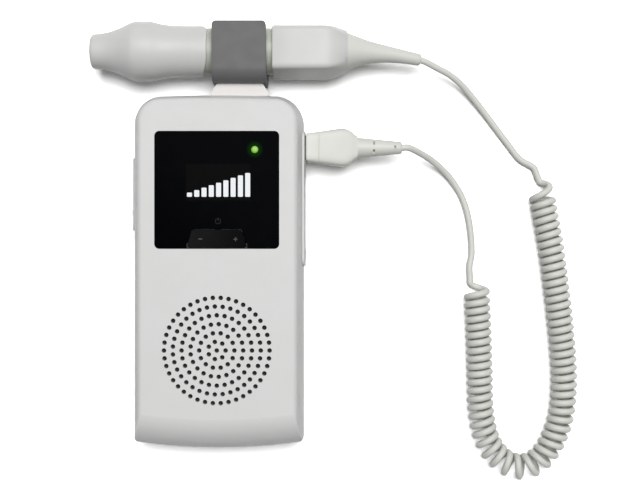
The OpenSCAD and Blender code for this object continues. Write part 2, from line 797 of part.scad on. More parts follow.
module port_panel() {
    color(panel_white) difference() {
        union() {
            intersection() {
                side_bar(-panel_proud, panel_y - panel_l, panel_y + panel_l);
                translate([0, panel_y, belt_z]) bar_x(panel_in, half_w + over)
                    polygon(plate(panel_l, panel_h, side_hole_r - seat_gap));
            }
            translate([0, panel_y, belt_z]) bar_x(panel_in, panel_in + flange_t)
                polygon(plate(panel_l + 2 * flange_rim, panel_h + 2 * flange_rim, 3));
        }
        translate([0, socket_y, belt_z]) bar_x(panel_in - 1, half_w + over)
            polygon(plate(insert_w + 2 * run_gap, insert_t + 2 * run_gap, 1));
        rod_x(panel_in - 1, half_w + over, phone_y, belt_z, phone_r + phone_wall + seat_gap);
    }
}

module probe_socket() {
    color(part_black) difference() {
        translate([0, socket_y, belt_z]) bar_x(socket_back - socket_floor, panel_in)
            polygon(plate(socket_w, socket_t, 1));
        translate([0, socket_y, belt_z]) bar_x(socket_back, panel_in + 1)
            polygon(plate(insert_w + 2 * run_gap, insert_t + 2 * run_gap, 1));
    }
}

module earphone_socket() {
    mouth = half_w + panel_proud;
    half = 5.5;
    color(part_black) difference() {
        union() {
            block(mouth - phone_depth - 1.4, panel_in, phone_y - half, phone_y + half,
                2 * belt_z - board_low, board_low);
            rod_x(panel_in - join, mouth, phone_y, belt_z, phone_r + phone_wall);
        }
        rod_x(mouth - phone_depth, mouth + 1, phone_y, belt_z, phone_r);
    }
}

// An AA cell along Y: its cap is at the end that it points to
module cell(x, y0, y1, cap_up) {
    cap_l = 1.2;
    cap_r = 2.7;
    base = cap_up ? y0 : y0 + cap_l;
    tip = cap_up ? y1 - cap_l : y1;
    color(cell_silver) {
        rod_y(base, tip, x, cell_z, cell_r);
        rod_y(y0, y1, x, cell_z, cap_r);
    }
}

contact_gap = 0.05;

module left_cell() {
    high = bay_top - contact_t - contact_gap;
    cell(-cell_x, high - cell_l, high, true);
}

module right_cell() {
    low = bay_bottom + contact_t + contact_gap;
    cell(cell_x, low, low + cell_l, false);
}

module battery_contacts() {
    low = cell_z - contact_h / 2;
    high = cell_z + contact_h / 2;
    color(steel) {
        for (x = [-cell_x, cell_x]) translate([x, bay_top - contact_t, 0]) {
            block(-contact_w / 2, contact_w / 2, 0, contact_t, low, high);
            // Tab that is soldered under the main board's edge
            block(-tab_w / 2, tab_w / 2, 0, contact_t, high - 1, tab_z + contact_t);
            block(-tab_w / 2, tab_w / 2, 0, tab_l, tab_z, tab_z + contact_t);
        }
        block(-cell_x - contact_w / 2, cell_x + contact_w / 2, bay_bottom, bay_bottom + contact_t, low, high);
    }
}

module case_screws() {
    color(steel) for (p = case_posts) {
        difference() {
            rod_z(head_depth - head_h, head_depth, p[0], p[1], head_r);
            translate([p[0], p[1], head_depth - head_h]) for (a = [0, 90]) rotate(a)
                cube([cross_l, cross_w, head_h], center = true);
        }
        rod_z(head_depth - join, belt_z + 6, p[0], p[1], screw_r);
    }
}

module board_screws() {
    color(steel) for (p = board_posts) {
        rod_z(board_low - 1.2, board_low, p[0], p[1], 1.8 * board_screw_r);
        rod_z(board_low - join, board_top + 4, p[0], p[1], board_screw_r);
    }
}

// Clip: the neck stands in the handset's top end, and the fork holds the probe's waist
mouth_r = waist_r + run_gap;
fork_y = half_l + neck_l;
probe_y = fork_y + clip_web + mouth_r;
jaw_y = probe_y + waist_r + jaw_reach;
jaw_half = mouth_r + jaw_t;
screw_xs = [clip_x - clip_screw_gap / 2, clip_x + clip_screw_gap / 2];
clip_screw_z = belt_z - 3.5;
clip_screw_depth = 3;
pad_y = half_l - 4;
pad_half = 3;

module clip_neck() {
    color(shell_white) difference() {
        translate([clip_x, 0, belt_z - neck_t / 2]) linear_extrude(neck_t) polygon(rounded([
            [-neck_w / 2, neck_seat_y, 0], [neck_w / 2, neck_seat_y, 0], [neck_w / 2, neck_seat_y + 1, 1.5],
            [neck_top_w / 2, fork_y, 1.5], [-neck_top_w / 2, fork_y, 1.5], [-neck_w / 2, neck_seat_y + 1, 1.5]
        ]));
        for (x = screw_xs) rod_y(neck_seat_y - 1, fork_y + 1, x, clip_screw_z, screw_r + pin_gap);
    }
}

module fork_clip() {
    color(clip_grey) difference() {
        intersection() {
            bar_x(clip_x - clip_w / 2, clip_x + clip_w / 2) polygon(rounded([
                [fork_y, probe_z - jaw_half, clip_edge_r], [jaw_y, probe_z - jaw_half, 1.2],
                [jaw_y, probe_z + jaw_half, 1.2], [fork_y, probe_z + jaw_half, clip_edge_r]
            ]));
            translate([clip_x, 0, 0]) linear_extrude(2 * body_t) polygon(rounded([
                [-clip_w / 2, fork_y - 1, 0], [clip_w / 2, fork_y - 1, 0],
                [clip_w / 2, jaw_y, 2], [-clip_w / 2, jaw_y, 2]
            ]));
        }
        rod_x(clip_x - clip_w, clip_x + clip_w, probe_y, probe_z, mouth_r);
        block(clip_x - clip_w, clip_x + clip_w, probe_y, jaw_y + 1, probe_z - mouth_r, probe_z + mouth_r);
        for (x = screw_xs)
            rod_y(fork_y - 1, fork_y + clip_screw_depth + run_gap, x, clip_screw_z, screw_r + pin_gap);
    }
}

module clip_screws() {
    color(steel) for (x = screw_xs) {
        rod_y(pad_y - head_h, pad_y, x, clip_screw_z, head_r);
        rod_y(pad_y - join, fork_y + clip_screw_depth, x, clip_screw_z, screw_r);
    }
}

// Probe, along X through the fork. Outlines are drawn as [distance from the tip, radius].
tip_x = -probe_tip;
sleeve_end = probe_l - waist_l - grip_l;
waist_end = sleeve_end + waist_l;
spigot_r = waist_r - 1.1;
spigot_l = 4;
waist_bore_r = spigot_r - 1.2;
shoulder_x = sleeve_end - 3.4;
lens_t = 1.3;
crystal_t = 0.6;
crystal_r = lens_r - 0.5;
backing_l = 9;
relief_r = 7.9;
relief_seat = 1.2;
relief_end_r = 2.2;
relief_fade = 12.5;
relief_root_l = 6.5;

module turned(points) {
    translate([tip_x, probe_y, probe_z]) rotate([0, 90, 0]) rotate_extrude()
        polygon([for (p = points) [p[1], p[0]]]);
}

module probe_nose() {
    color(shell_white) difference() {
        intersection() {
            turned(rounded([
                [0, 0, 0], [0, tip_r, 2], [8.3, tip_r + 0.9, 10], [18, bulge_r, 6], [24.6, bulge_r, 5],
                [33.5, sleeve_r, 16], [sleeve_end, sleeve_r, 0.6], [sleeve_end, 0, 0]
            ]));
            translate([tip_x, probe_y, 0]) linear_extrude(2 * body_t) polygon(rounded([
                [-1, -bulge_r - 1, 0], [sleeve_end, -bulge_r - 1, 7],
                [sleeve_end, bulge_r + 1, 7], [-1, bulge_r + 1, 0]
            ]));
        }
        turned([
            [-1, 0], [-1, lens_r + seat_gap], [lens_t, lens_r + seat_gap], [lens_t, lens_r - 0.4],
            [lens_t + backing_l + 1, lens_r - 0.4], [18, bulge_r - probe_wall], [25, bulge_r - probe_wall],
            [33, spigot_r + seat_gap], [shoulder_x, spigot_r + seat_gap], [shoulder_x, waist_r + seat_gap],
            [sleeve_end + 1, waist_r + seat_gap], [sleeve_end + 1, 0]
        ]);
    }
}

module probe_waist() {
    front = shoulder_x + seat_gap;
    color(waist_grey) turned([
        [front - spigot_l, waist_bore_r], [waist_end + spigot_l, waist_bore_r],
        [waist_end + spigot_l, spigot_r], [waist_end, spigot_r], [waist_end, waist_r],
        [front, waist_r], [front, spigot_r], [front - spigot_l, spigot_r]
    ]);
}

// Section of the grip: a flat face in front, sides that bulge lower down
function grip_section(inset) = rounded([
    [-grip_w * 0.36 + inset, inset - grip_w / 2 + 0.4, 4],
    [grip_w * 0.36 - inset, inset - grip_w / 2 + 0.4, 4],
    [grip_w / 2 - inset, -2, 7],
    [grip_flat_w / 2 - inset * 0.8, grip_top - inset, 2],
    [-grip_flat_w / 2 + inset * 0.8, grip_top - inset, 2],
    [-grip_w / 2 + inset, -2, 7]
]);

module probe_grip() {
    x0 = tip_x + waist_end;
    x1 = tip_x + probe_l;
    side = grip_w / 2 + 0.5;
    high = probe_z + grip_top + 0.2;
    color(shell_white) difference() {
        intersection() {
            translate([0, probe_y, probe_z]) bar_x(x0, x1) polygon(grip_section(0));
            // Round corners at the cord's end, seen from the front and from the side
            translate([0, probe_y, 0]) linear_extrude(2 * body_t) polygon(rounded([
                [x0 - 1, -side, 0], [x1, -side, 8], [x1, side, 8], [x0 - 1, side, 0]
            ]));
            bar_y(probe_y - grip_w, probe_y + grip_w) polygon(rounded([
                [x0 - 1, -1, 0], [x1 + 0.4, -1, 6], [x1 + 0.4, high, 3], [x0 - 1, high, 0]
            ]));
        }
        translate([0, probe_y, probe_z]) bar_x(x0 + spigot_l + 0.2, x1 - 6) polygon(grip_section(probe_wall));
        rod_x(x0 - 1, x0 + spigot_l + 1, probe_y, probe_z, spigot_r + seat_gap);
        rod_x(x1 - 7, x1 + 1, probe_y, probe_z, relief_root_r + seat_gap);
        rod_x(x1 - relief_seat, x1 + 1, probe_y, probe_z, relief_r + seat_gap);
    }
}

module transducer_window() {
    color(lens_blue) rod_x(tip_x, tip_x + lens_t - 0.05, probe_y, probe_z, lens_r);
}

// Two half discs side by side: one sends and one listens
module transducer_crystals() {
    color(brass) difference() {
        rod_x(tip_x + lens_t, tip_x + lens_t + crystal_t, probe_y, probe_z, crystal_r);
        block(tip_x, tip_x + backing_l, probe_y - 0.3, probe_y + 0.3, 0, 2 * probe_z);
    }
}

module transducer_backing() {
    color(waist_grey)
        rod_x(tip_x + lens_t + crystal_t + 0.05, tip_x + lens_t + backing_l, probe_y, probe_z, crystal_r);
}

// Board in the probe, with one chip. Its long edges rest in the waist's bore.
probe_board_x0 = tip_x + 18;
probe_board_x1 = tip_x + waist_end - 6;
probe_chip = [8, 6, 1.4];

module probe_board() {
    half = waist_bore_r - seat_gap;
    high = probe_z + probe_board_t / 2;
    color(board_green)
        block(probe_board_x0, probe_board_x1, probe_y - half, probe_y + half, high - probe_board_t, high);
    color(part_black) translate([probe_board_x0 + 12, probe_y - probe_chip[1] / 2, high]) cube(probe_chip);
}

// Leads from the transducer to the probe's board, and from there to the cord
module probe_leads() {
    color(lead_red) for (side = [-1, 1]) {
        rod_x(tip_x + lens_t + backing_l, probe_board_x0, probe_y + 2 * side, probe_z, lead_r);
        rod_x(probe_board_x1, relief_x - relief_root_l, probe_y + 2 * side, probe_z, lead_r);
    }
}

// Leads from the frame of the speaker to the connector on the main board
module speaker_leads() {
    frame_z = speaker_top - frame_depth;
    header_z = board_top + header_h / 2;
    y0 = speaker_y + magnet_r + 4;
    color(lead_red) for (x = [-2.5, 2.5]) {
        path = concat([[x, y0, frame_z]], smooth([
            [x, y0, frame_z - 0.4], [x, y0 + 1, frame_z - 1.5], [x, y0 + 4, frame_z - 2.1],
            [x, header_y - 3, header_z], [x, header_y - 1, header_z], [x, header_y, header_z]
        ], 2));
        tube(path, [for (p = path) [1, 0, 0]], [for (p = path) lead_r], 6);
    }
}

// Free cord: hand-chosen points, from the probe to the curly part and from the plug to its other end
cord_r = cord_d / 2;
relief_root_r = 4.8;
relief_end = [83.6, 88.4, 11];
relief_ahead = unit([0.93, -0.31, -0.2]);
upper_points = [
    [91, 85.3, 9], [95.6, 83.2, 7.4], [100.8, 79.6, 5.5], [106, 74.2, 3.7], [111.5, 67.6, 2.3],
    [117, 60.4, 1.6], [122.3, 53.4, 1.4], [127, 47.6, 1.4]
];
lower_points = [
    [84, 49.4, 9.6], [89.6, 46.3, 6], [94.8, 42, 3.4], [99, 37, 2], [102.2, 31.6, 1.4], [104.3, 25.6, 1.4],
    [105.6, 19, 1.4], [106.3, 12, 1.4], [106.3, 6.6, 1.5]
];
// Middle line of the curly part, down one leg, round the bend and up the other
coil_points = [
    [133.4, 37.2], [135.3, 32.6], [136.9, 24], [139.4, 10], [141.5, -6], [143.3, -22], [144.5, -36],
    [144.8, -49], [143.4, -62], [139, -73.6], [133.2, -80.4], [126.5, -82.6], [119.6, -80.4], [113.8, -74],
    [110.6, -65], [109.4, -54], [109.2, -42], [108.9, -31], [108.5, -21], [108.1, -12], [107.8, -4.6]
];
exit_angle = -60;

function smooth_point(a, b, c, d, t) =
    0.5 * (2 * b + (c - a) * t + (2 * a - 5 * b + 4 * c - d) * t * t + (3 * b - a - 3 * c + d) * t * t * t);
function smooth(points, steps) = concat([
    for (i = [0 : len(points) - 2], k = [0 : steps - 1])
        smooth_point(points[max(i - 1, 0)], points[i], points[i + 1], points[min(i + 2, len(points) - 1)],
            k / steps)
], [points[len(points) - 1]]);
function headings(points) = [
    for (i = [0 : len(points) - 1]) unit(points[min(i + 1, len(points) - 1)] - points[max(i - 1, 0)])
];
// Distance run so far at each point of a route
function running(points) = [
    for (i = 0, run = 0; i < len(points);
        run = run + (i + 1 < len(points) ? norm(points[i + 1] - points[i]) : 0), i = i + 1) run
];

// Rings of n points round a route, the first point of each turned towards its own side, joined into one tube
module tube(path, sides, radii, n) {
    last = len(path) - 1;
    ahead = headings(path);
    points = [
        for (i = [0 : last])
            let (s = unit(sides[i] - ahead[i] * (ahead[i] * sides[i])), w = cross(ahead[i], s))
            for (k = [0 : n - 1]) path[i] + radii[i] * (cos(360 * k / n) * s + sin(360 * k / n) * w)
    ];
    walls = [
        for (i = [0 : last - 1], k = [0 : n - 1])
            let (a = i * n + k, b = i * n + (k + 1) % n)
            each [[a, a + n, b + n], [a, b + n, b]]
    ];
    caps = [for (k = [1 : n - 2]) each [[0, k, k + 1], [last * n, last * n + k + 1, last * n + k]]];
    polyhedron(points = points, faces = concat(walls, caps));
}

// A plain stretch of cord, its rings turned sideways
module cord_run(path) {
    tube(path, [for (h = headings(path)) cross(h, [0, 0, 1])], [for (p = path) cord_r], 8);
}

// Curly part: curls are evenly spaced along the inner side of the bend, as they lie when the cord is bent,
// and open out over two curls at each end until the cord runs straight
coil_r = (curl_d - cord_d) / 2;
coil_line = smooth(coil_points, 10);
coil_ahead = headings(coil_line);
function outward(h) = [-h[1], h[0]];
inner_line = [for (i = [0 : len(coil_line) - 1]) coil_line[i] - coil_r * outward(coil_ahead[i])];
inner_run = running(inner_line);
coil_length = inner_run[len(inner_run) - 1];
curl_pitch = coil_length / (curls + 2);
opening_l = 2 * curl_pitch;
line_x = [for (i = [0 : len(coil_line) - 1]) [inner_run[i], coil_line[i][0]]];
line_y = [for (i = [0 : len(coil_line) - 1]) [inner_run[i], coil_line[i][1]]];
ahead_x = [for (i = [0 : len(coil_line) - 1]) [inner_run[i], coil_ahead[i][0]]];
ahead_y = [for (i = [0 : len(coil_line) - 1]) [inner_run[i], coil_ahead[i][1]]];

function turn_at(s) = s < opening_l ? 90 * pow(s / curl_pitch, 2)
    : s > coil_length - opening_l ? 360 * curls - 90 * pow((coil_length - s) / curl_pitch, 2)
    : 360 + 360 * (s - opening_l) / curl_pitch;
function spoke_at(s) =
    let (h = unit([lookup(s, ahead_x), lookup(s, ahead_y)]), o = outward(h), a = exit_angle + turn_at(s))
    [cos(a) * o[0], cos(a) * o[1], sin(a)];
function coil_at(s) = [lookup(s, line_x), lookup(s, line_y), coil_r + cord_r] + coil_r * spoke_at(s);
coil_steps = concat(
    [for (k = [0 : 15]) opening_l * k / 16],
    [for (k = [0 : 8 * (curls - 2)]) opening_l + curl_pitch * k / 8],
    [for (k = [15 : -1 : 0]) coil_length - opening_l * k / 16]
);
first_ahead = [coil_ahead[0][0], coil_ahead[0][1], 0];
last_ahead = [coil_ahead[len(coil_ahead) - 1][0], coil_ahead[len(coil_ahead) - 1][1], 0];
coil_start = coil_at(0) - cord_d * first_ahead;
coil_end = coil_at(coil_length) + cord_d * last_ahead;
coil_route = concat([coil_start, coil_at(0) - 0.1 * first_ahead], [for (s = coil_steps) coil_at(s)],
    [coil_at(coil_length) + 0.1 * last_ahead, coil_end]);
coil_sides = concat([spoke_at(0), spoke_at(0)], [for (s = coil_steps) spoke_at(s)],
    [spoke_at(coil_length), spoke_at(coil_length)]);

// Least gap of the curly part to itself, between points that lie more than 10 mm of cord apart
coil_run = running(coil_route);
least_gap = min([
    for (i = [0 : len(coil_route) - 2], j = [i + 1 : len(coil_route) - 1])
        if (coil_run[j] - coil_run[i] > 10) norm(coil_route[i] - coil_route[j])
]) - cord_d;
echo(coil_pitch = curl_pitch, least_gap = least_gap);

upper_route = concat([relief_end, relief_end + 3 * relief_ahead], upper_points,
    [coil_start - 4 * first_ahead, coil_start]);
boot_x = half_w + panel_proud + run_gap + plug_l;
boot_end = [boot_x + boot_l, socket_y, belt_z];
lower_route = concat([boot_end, boot_end + [3, 0, 0]], lower_points, [coil_end + 4 * last_ahead, coil_end]);
function whole(points) = running(points)[len(points) - 1];
echo(upper_length = whole(upper_route), coil_cord = whole(coil_route), lower_length = whole(lower_route));

// Strain relief: a swept horn that leaves the grip along the probe's axis and bends with the cord
relief_x = tip_x + probe_l;
relief_points = [
    [relief_x + 2, probe_y, probe_z], [relief_x + 5, probe_y - 0.1, probe_z - 0.1],
    [relief_x + 10, probe_y - 0.4, probe_z - 0.4], [relief_x + 16, probe_y - 0.9, probe_z - 0.9],
    [relief_x + 22, probe_y - 1.6, probe_z - 1.7], relief_end - 4 * relief_ahead
];

module strain_relief() {
    path = concat([for (x = [-relief_seat, 0]) [relief_x + x, probe_y, probe_z]],
        smooth(relief_points, 2), [relief_end]);
    swell = relief_r - relief_end_r;
    color(cord_white) {
        tube(path, [for (p = path) [0, 0, 1]],
            [for (p = path) relief_end_r + swell * exp(-max(p[0] - relief_x, 0) / relief_fade)], 20);
        rod_x(relief_x - relief_root_l, relief_x - relief_seat + join, probe_y, probe_z, relief_root_r);
    }
}

module cord_upper() { color(cord_white) cord_run(upper_route); }

module cord_lower() { color(cord_white) cord_run(lower_route); }

module cord_coil() {
    color(cord_white) tube(coil_route, coil_sides, [for (p = coil_route) cord_r], 6);
}

// Plug
plug_x = half_w + panel_proud + run_gap;
plug_shoulder = plug_l * 0.74;

// Half of the plug's outline, grown from half its breadth at the panel to half its breadth at the shoulder
function plug_outline(foot, shoulder) = rounded([
    [0, -foot, 0.6], [plug_shoulder, -shoulder, 5], [plug_l, -boot_r, 0], [plug_l, boot_r, 0],
    [plug_shoulder, shoulder, 5], [0, foot, 0.6]
]);
// The plug's half breadth at its collar, less the groove
function at_collar(foot, shoulder) = foot + (shoulder - foot) * collar_l / plug_shoulder - groove_depth;

module plug_shell() {
    foot_t = plug_t / 2 - 0.6;
    color(cord_white) translate([plug_x, socket_y, belt_z]) difference() {
        intersection() {
            translate([0, 0, -plug_t]) linear_extrude(2 * plug_t)
                polygon(plug_outline(plug_w / 2, plug_max_w / 2));
            bar_y(-plug_w, plug_w) polygon(plug_outline(foot_t, plug_t / 2));
            bar_x(-1, plug_l + 1) polygon(plate(plug_max_w + 0.3, plug_t + 0.3, 3.6));
        }
        // Shadow groove behind the collar
        difference() {
            bar_x(collar_l, collar_l + groove_h) square(2 * plug_max_w, center = true);
            bar_x(collar_l - 1, collar_l + groove_h + 1) polygon(plate(
                2 * at_collar(plug_w / 2, plug_max_w / 2), 2 * at_collar(foot_t, plug_t / 2), 3.2));
        }
    }
}

// Six blades, each in a groove of the insert
blade_pitch = 1.4;
blade_w = 0.8;
blade_depth = 0.5;
blade_end = -3;
blade_ys = [for (k = [-2.5 : 2.5]) k * blade_pitch];

module plug_insert() {
    color(part_black) translate([plug_x, socket_y, belt_z]) difference() {
        bar_x(-insert_l, 0) polygon(plate(insert_w, insert_t, 0.8));
        for (y = blade_ys) block(-insert_l - 1, blade_end, y - blade_w / 2 - 0.05, y + blade_w / 2 + 0.05,
            insert_t / 2 - blade_depth, insert_t / 2 + 1);
    }
}

module plug_blades() {
    color(brass) translate([plug_x, socket_y, belt_z])
        for (y = blade_ys) block(0.5 - insert_l, blade_end - 0.05, y - blade_w / 2, y + blade_w / 2,
            insert_t / 2 - blade_depth, insert_t / 2 - 0.1);
}

module plug_boot() {
    color(cord_white) difference() {
        translate([boot_x, socket_y, belt_z]) rotate([0, 90, 0])
            cylinder(h = boot_l, r1 = boot_r, r2 = boot_end_r);
        for (k = [0 : 2]) translate([boot_x + boot_l * (0.3 + 0.22 * k), socket_y, belt_z])
            for (side = [0, 180]) rotate([side + 90 * (k % 2), 0, 0])
                translate([0, -5, cord_r + 0.5]) cube([0.9, 10, 5]);
    }
}

// Battery springs: a cone of wire on each negative end
module battery_spring(x, y, away) {
    steps = 12 * spring_turns;
    foot_r = 4;
    tip_r = 2.4;
    path = [
        for (k = [0 : steps])
            let (
                a = 360 * spring_turns * k / steps,
                r = foot_r + (tip_r - foot_r) * k / steps,
                rise = spring_wire / 2 + (spring_l - spring_wire) * k / steps
            )
            [x + r * cos(a), y + away * rise, cell_z + r * sin(a)]
    ];
    tube(path, [for (p = path) [0, 1, 0]], [for (p = path) spring_wire / 2], 6);
}

module battery_springs() {
    color(steel) {
        battery_spring(-cell_x, bay_bottom + contact_t + 0.02, 1);
        battery_spring(cell_x, bay_top - contact_t - 0.02, -1);
    }
}

front_shell();
back_shell();
battery_door();
display_window();
display_module();
status_light();
rocker_key();
key_domes();
side_key();
side_switch();
main_board();
board_parts();
speaker();
speaker_mesh();
port_panel();
probe_socket();
earphone_socket();
left_cell();
right_cell();
battery_contacts();
battery_springs();
case_screws();
board_screws();
clip_neck();
fork_clip();
clip_screws();
probe_nose();
probe_waist();
probe_grip();
transducer_window();
transducer_crystals();
transducer_backing();
probe_board();
strain_relief();
cord_upper();
cord_coil();
cord_lower();
plug_shell();
plug_insert();
plug_blades();
plug_boot();
speaker_leads();
probe_leads();
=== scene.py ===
import math

import bmesh
import bpy
from mathutils import Matrix, Vector


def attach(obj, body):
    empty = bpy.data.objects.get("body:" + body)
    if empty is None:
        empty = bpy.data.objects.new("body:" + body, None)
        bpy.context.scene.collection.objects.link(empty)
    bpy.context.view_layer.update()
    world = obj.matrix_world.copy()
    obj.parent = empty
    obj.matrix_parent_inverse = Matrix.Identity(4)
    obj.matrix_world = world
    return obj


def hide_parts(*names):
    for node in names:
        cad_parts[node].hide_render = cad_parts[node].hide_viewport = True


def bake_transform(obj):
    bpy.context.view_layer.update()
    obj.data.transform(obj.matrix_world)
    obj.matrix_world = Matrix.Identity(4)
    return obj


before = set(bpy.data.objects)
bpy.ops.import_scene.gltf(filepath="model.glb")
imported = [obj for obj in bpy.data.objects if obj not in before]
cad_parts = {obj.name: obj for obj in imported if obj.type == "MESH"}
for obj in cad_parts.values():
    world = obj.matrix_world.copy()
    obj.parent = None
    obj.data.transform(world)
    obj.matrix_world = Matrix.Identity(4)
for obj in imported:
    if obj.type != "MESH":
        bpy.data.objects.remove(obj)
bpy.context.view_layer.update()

# Studio: the doppler lies on a white table, under one large soft lamp that stands past the probe and a dim
# pale sky. The camera hangs 480 mm above the table and looks straight down on the middle of the picture. It
# sees the table as white, but the doppler is lit from it as from a grey one.
picture_w_px, focal_px = 638, 1121
sensor_mm = 36
camera_at = (0.04124, 0.00895, 0.480)
camera_data = bpy.data.cameras.new("camera")
camera_data.sensor_width = sensor_mm
camera_data.lens = sensor_mm * focal_px / picture_w_px
camera = bpy.data.objects.new("camera", camera_data)
camera.location = camera_at
bpy.context.scene.collection.objects.link(camera)
bpy.context.scene.camera = camera
bpy.context.scene.view_settings.view_transform = "Standard"


class Wire:
    """A socket in a node tree. Sums on it add Math nodes, and node() adds a node of any kind."""

    def __init__(self, tree, socket=None):
        self.tree = tree
        self.socket = socket

    def node(self, kind, inputs=None, output=0, **settings):
        made = self.tree.nodes.new(kind)
        for name, value in settings.items():
            setattr(made, name, value)
        for name, value in (inputs or {}).items():
            if isinstance(value, Wire):
                self.tree.links.new(value.socket, made.inputs[name])
            else:
                made.inputs[name].default_value = value
        return Wire(self.tree, made.outputs[output])

    def feed(self, socket):
        self.tree.links.new(self.socket, socket)

    def maths(self, operation, *values):
        return self.node("ShaderNodeMath", dict(enumerate(values)), operation=operation)

    def __add__(self, other):
        return self.maths("ADD", self, other)

    def __radd__(self, other):
        return self.maths("ADD", other, self)

    def __sub__(self, other):
        return self.maths("SUBTRACT", self, other)

    def __rsub__(self, other):
        return self.maths("SUBTRACT", other, self)

    def __mul__(self, other):
        return self.maths("MULTIPLY", self, other)

    def __rmul__(self, other):
        return self.maths("MULTIPLY", other, self)

    def __abs__(self):
        return self.maths("ABSOLUTE", self)

    def fade(self, none, full):
        """0 at none and past it, 1 at full and past it, and smooth between them."""
        return self.node("ShaderNodeMapRange", {"Value": self, "From Min": none, "From Max": full},
            interpolation_type="SMOOTHSTEP")

    def above(self, limit, edge):
        """1 above a limit and its soft edge, and 0 below the limit."""
        return self.fade(limit, limit + edge)

    def below(self, limit, edge):
        """1 below a limit and its soft edge, and 0 above the limit."""
        return self.fade(limit, limit - edge)

    def mix(self, none, full):
        """The colour none where this is 0, and full where it is 1, by the Mix node's colour sockets."""
        none, full = [tone if isinstance(tone, Wire) else (*tone, 1) for tone in (none, full)]
        return self.node("ShaderNodeMix", {0: self, 6: none, 7: full}, output=2, data_type="RGBA")

    def distance(self, point):
        """How far a place is from a point."""
        return self.node("ShaderNodeVectorMath", {0: self, 1: point}, output="Value", operation="DISTANCE")

    def noise(self, scale, detail):
        """Noise round 0.5 over a place."""
        return self.node("ShaderNodeTexNoise", {"Vector": self, "Scale": scale, "Detail": detail})

    def bump(self, strength, depth):
        """The normals of a skin that is raised where this is high."""
        return self.node("ShaderNodeBump", {"Height": self, "Strength": strength, "Distance": depth})


def grey(level):
    return (level, level, level)


def background_rays(tree):
    """1 for the rays that show the background: the camera's, and those that gloss or glass has turned."""
    camera_rays, gloss_rays, glass_rays = [Wire(tree).node("ShaderNodeLightPath", output=name)
        for name in ("Is Camera Ray", "Is Glossy Ray", "Is Transmission Ray")]
    return camera_rays + gloss_rays + glass_rays


table_half = 2.5
table_lit = 0.22
table_seen = 1.9
table_far_gain = 4
table_shape = bmesh.new()
bmesh.ops.create_grid(table_shape, x_segments=1, y_segments=1, size=table_half)
table_mesh = bpy.data.meshes.new("table")
table_shape.to_mesh(table_mesh)
table_shape.free()
table = bpy.data.objects.new("table", table_mesh)
bpy.context.scene.collection.objects.link(table)
table_material = bpy.data.materials.new("white_table")
table_material.use_nodes = True
table_nodes = table_material.node_tree
table_nodes.nodes.clear()
table_far = Wire(table_nodes).node("ShaderNodeTexCoord", output="Object").distance((0, 0, 0))
table_white = table_seen * (1 + table_far_gain * table_far * table_far)
table_colour = background_rays(table_nodes).mix(grey(table_lit), table_white)
table_out = table_nodes.nodes.new("ShaderNodeOutputMaterial")
table_colour.node("ShaderNodeBsdfDiffuse", {"Color": table_colour}).feed(table_out.inputs["Surface"])
table_mesh.materials.append(table_material)

sky_strength = 0.09
sky = bpy.data.worlds.new("pale_sky")
sky.use_nodes = True
sky_light = sky.node_tree.nodes["Background"]
sky_light.inputs["Color"].default_value = (*grey(1), 1)
(background_rays(sky.node_tree) * (1 - sky_strength) + sky_strength).feed(sky_light.inputs["Strength"])
bpy.context.scene.world = sky

lamp_aim = Vector((0.04, 0.01, 0))
lamp_from = Vector((0.15, 0.58, 1.9))
lamp_size, lamp_energy = 1.4, 40
lamp_data = bpy.data.lights.new("soft_lamp", "AREA")
lamp_data.shape = "DISK"
lamp_data.size = lamp_size
lamp_data.energy = lamp_energy
lamp = bpy.data.objects.new("soft_lamp", lamp_data)
lamp.location = lamp_aim + lamp_from
lamp.rotation_euler = lamp_from.to_track_quat("Z", "Y").to_euler()
bpy.context.scene.collection.objects.link(lamp)

# Cord: one pale jacket from the probe to the plug, 2.8 mm thick. It lies free on the table at both ends of
# a stretch that was wound on a rod and set by heat, whose curls spread on the outer side of its bend.
MM = 0.001
cord_r = 1.4
cord_sides, coil_sides = 16, 12
curl_d, curls = 11.3, 58
relief_end = Vector((83.6, 88.4, 11))
relief_ahead = Vector((0.93, -0.31, -0.2)).normalized()
boot_end = Vector((75.7, 51.5, 13))
end_straight, coil_straight = 3, 4
upper_points = [
    (91, 85.3, 9), (95.6, 83.2, 7.4), (100.8, 79.6, 5.5), (106, 74.2, 3.7), (111.5, 67.6, 2.3),
    (117, 60.4, 1.6), (122.3, 53.4, 1.4), (127, 47.6, 1.4)
]
lower_points = [
    (84, 49.4, 9.6), (89.6, 46.3, 6), (94.8, 42, 3.4), (99, 37, 2), (102.2, 31.6, 1.4), (104.3, 25.6, 1.4),
    (105.6, 19, 1.4), (106.3, 12, 1.4), (106.3, 6.6, 1.5)
]
coil_points = [
    (133.4, 37.2), (135.3, 32.6), (136.9, 24), (139.4, 10), (141.5, -6), (143.3, -22), (144.5, -36),
    (144.8, -49), (143.4, -62), (139, -73.6), (133.2, -80.4), (126.5, -82.6), (119.6, -80.4), (113.8, -74),
    (110.6, -65), (109.4, -54), (109.2, -42), (108.9, -31), (108.5, -21), (108.1, -12), (107.8, -4.6)
]


def smooth_line(points, steps):
    """A smooth line through the points, in so many steps from one to the next."""
    points = [Vector(p) for p in points]
    line = []
    for i in range(len(points) - 1):
        a, b, c, d = points[max(i - 1, 0)], points[i], points[i + 1], points[min(i + 2, len(points) - 1)]
        for t in (k / steps for k in range(steps)):
            line.append(0.5 * (2 * b + (c - a) * t + (2 * a - 5 * b + 4 * c - d) * t ** 2
                + (3 * b - a - 3 * c + d) * t ** 3))
    return line + [points[-1]]


def headings(line):
    last = len(line) - 1
    return [(line[min(i + 1, last)] - line[max(i - 1, 0)]).normalized() for i in range(last + 1)]


def new_points(grown):
    """The vertices among what an extrusion has made."""
    return [part for part in grown if isinstance(part, bmesh.types.BMVert)]


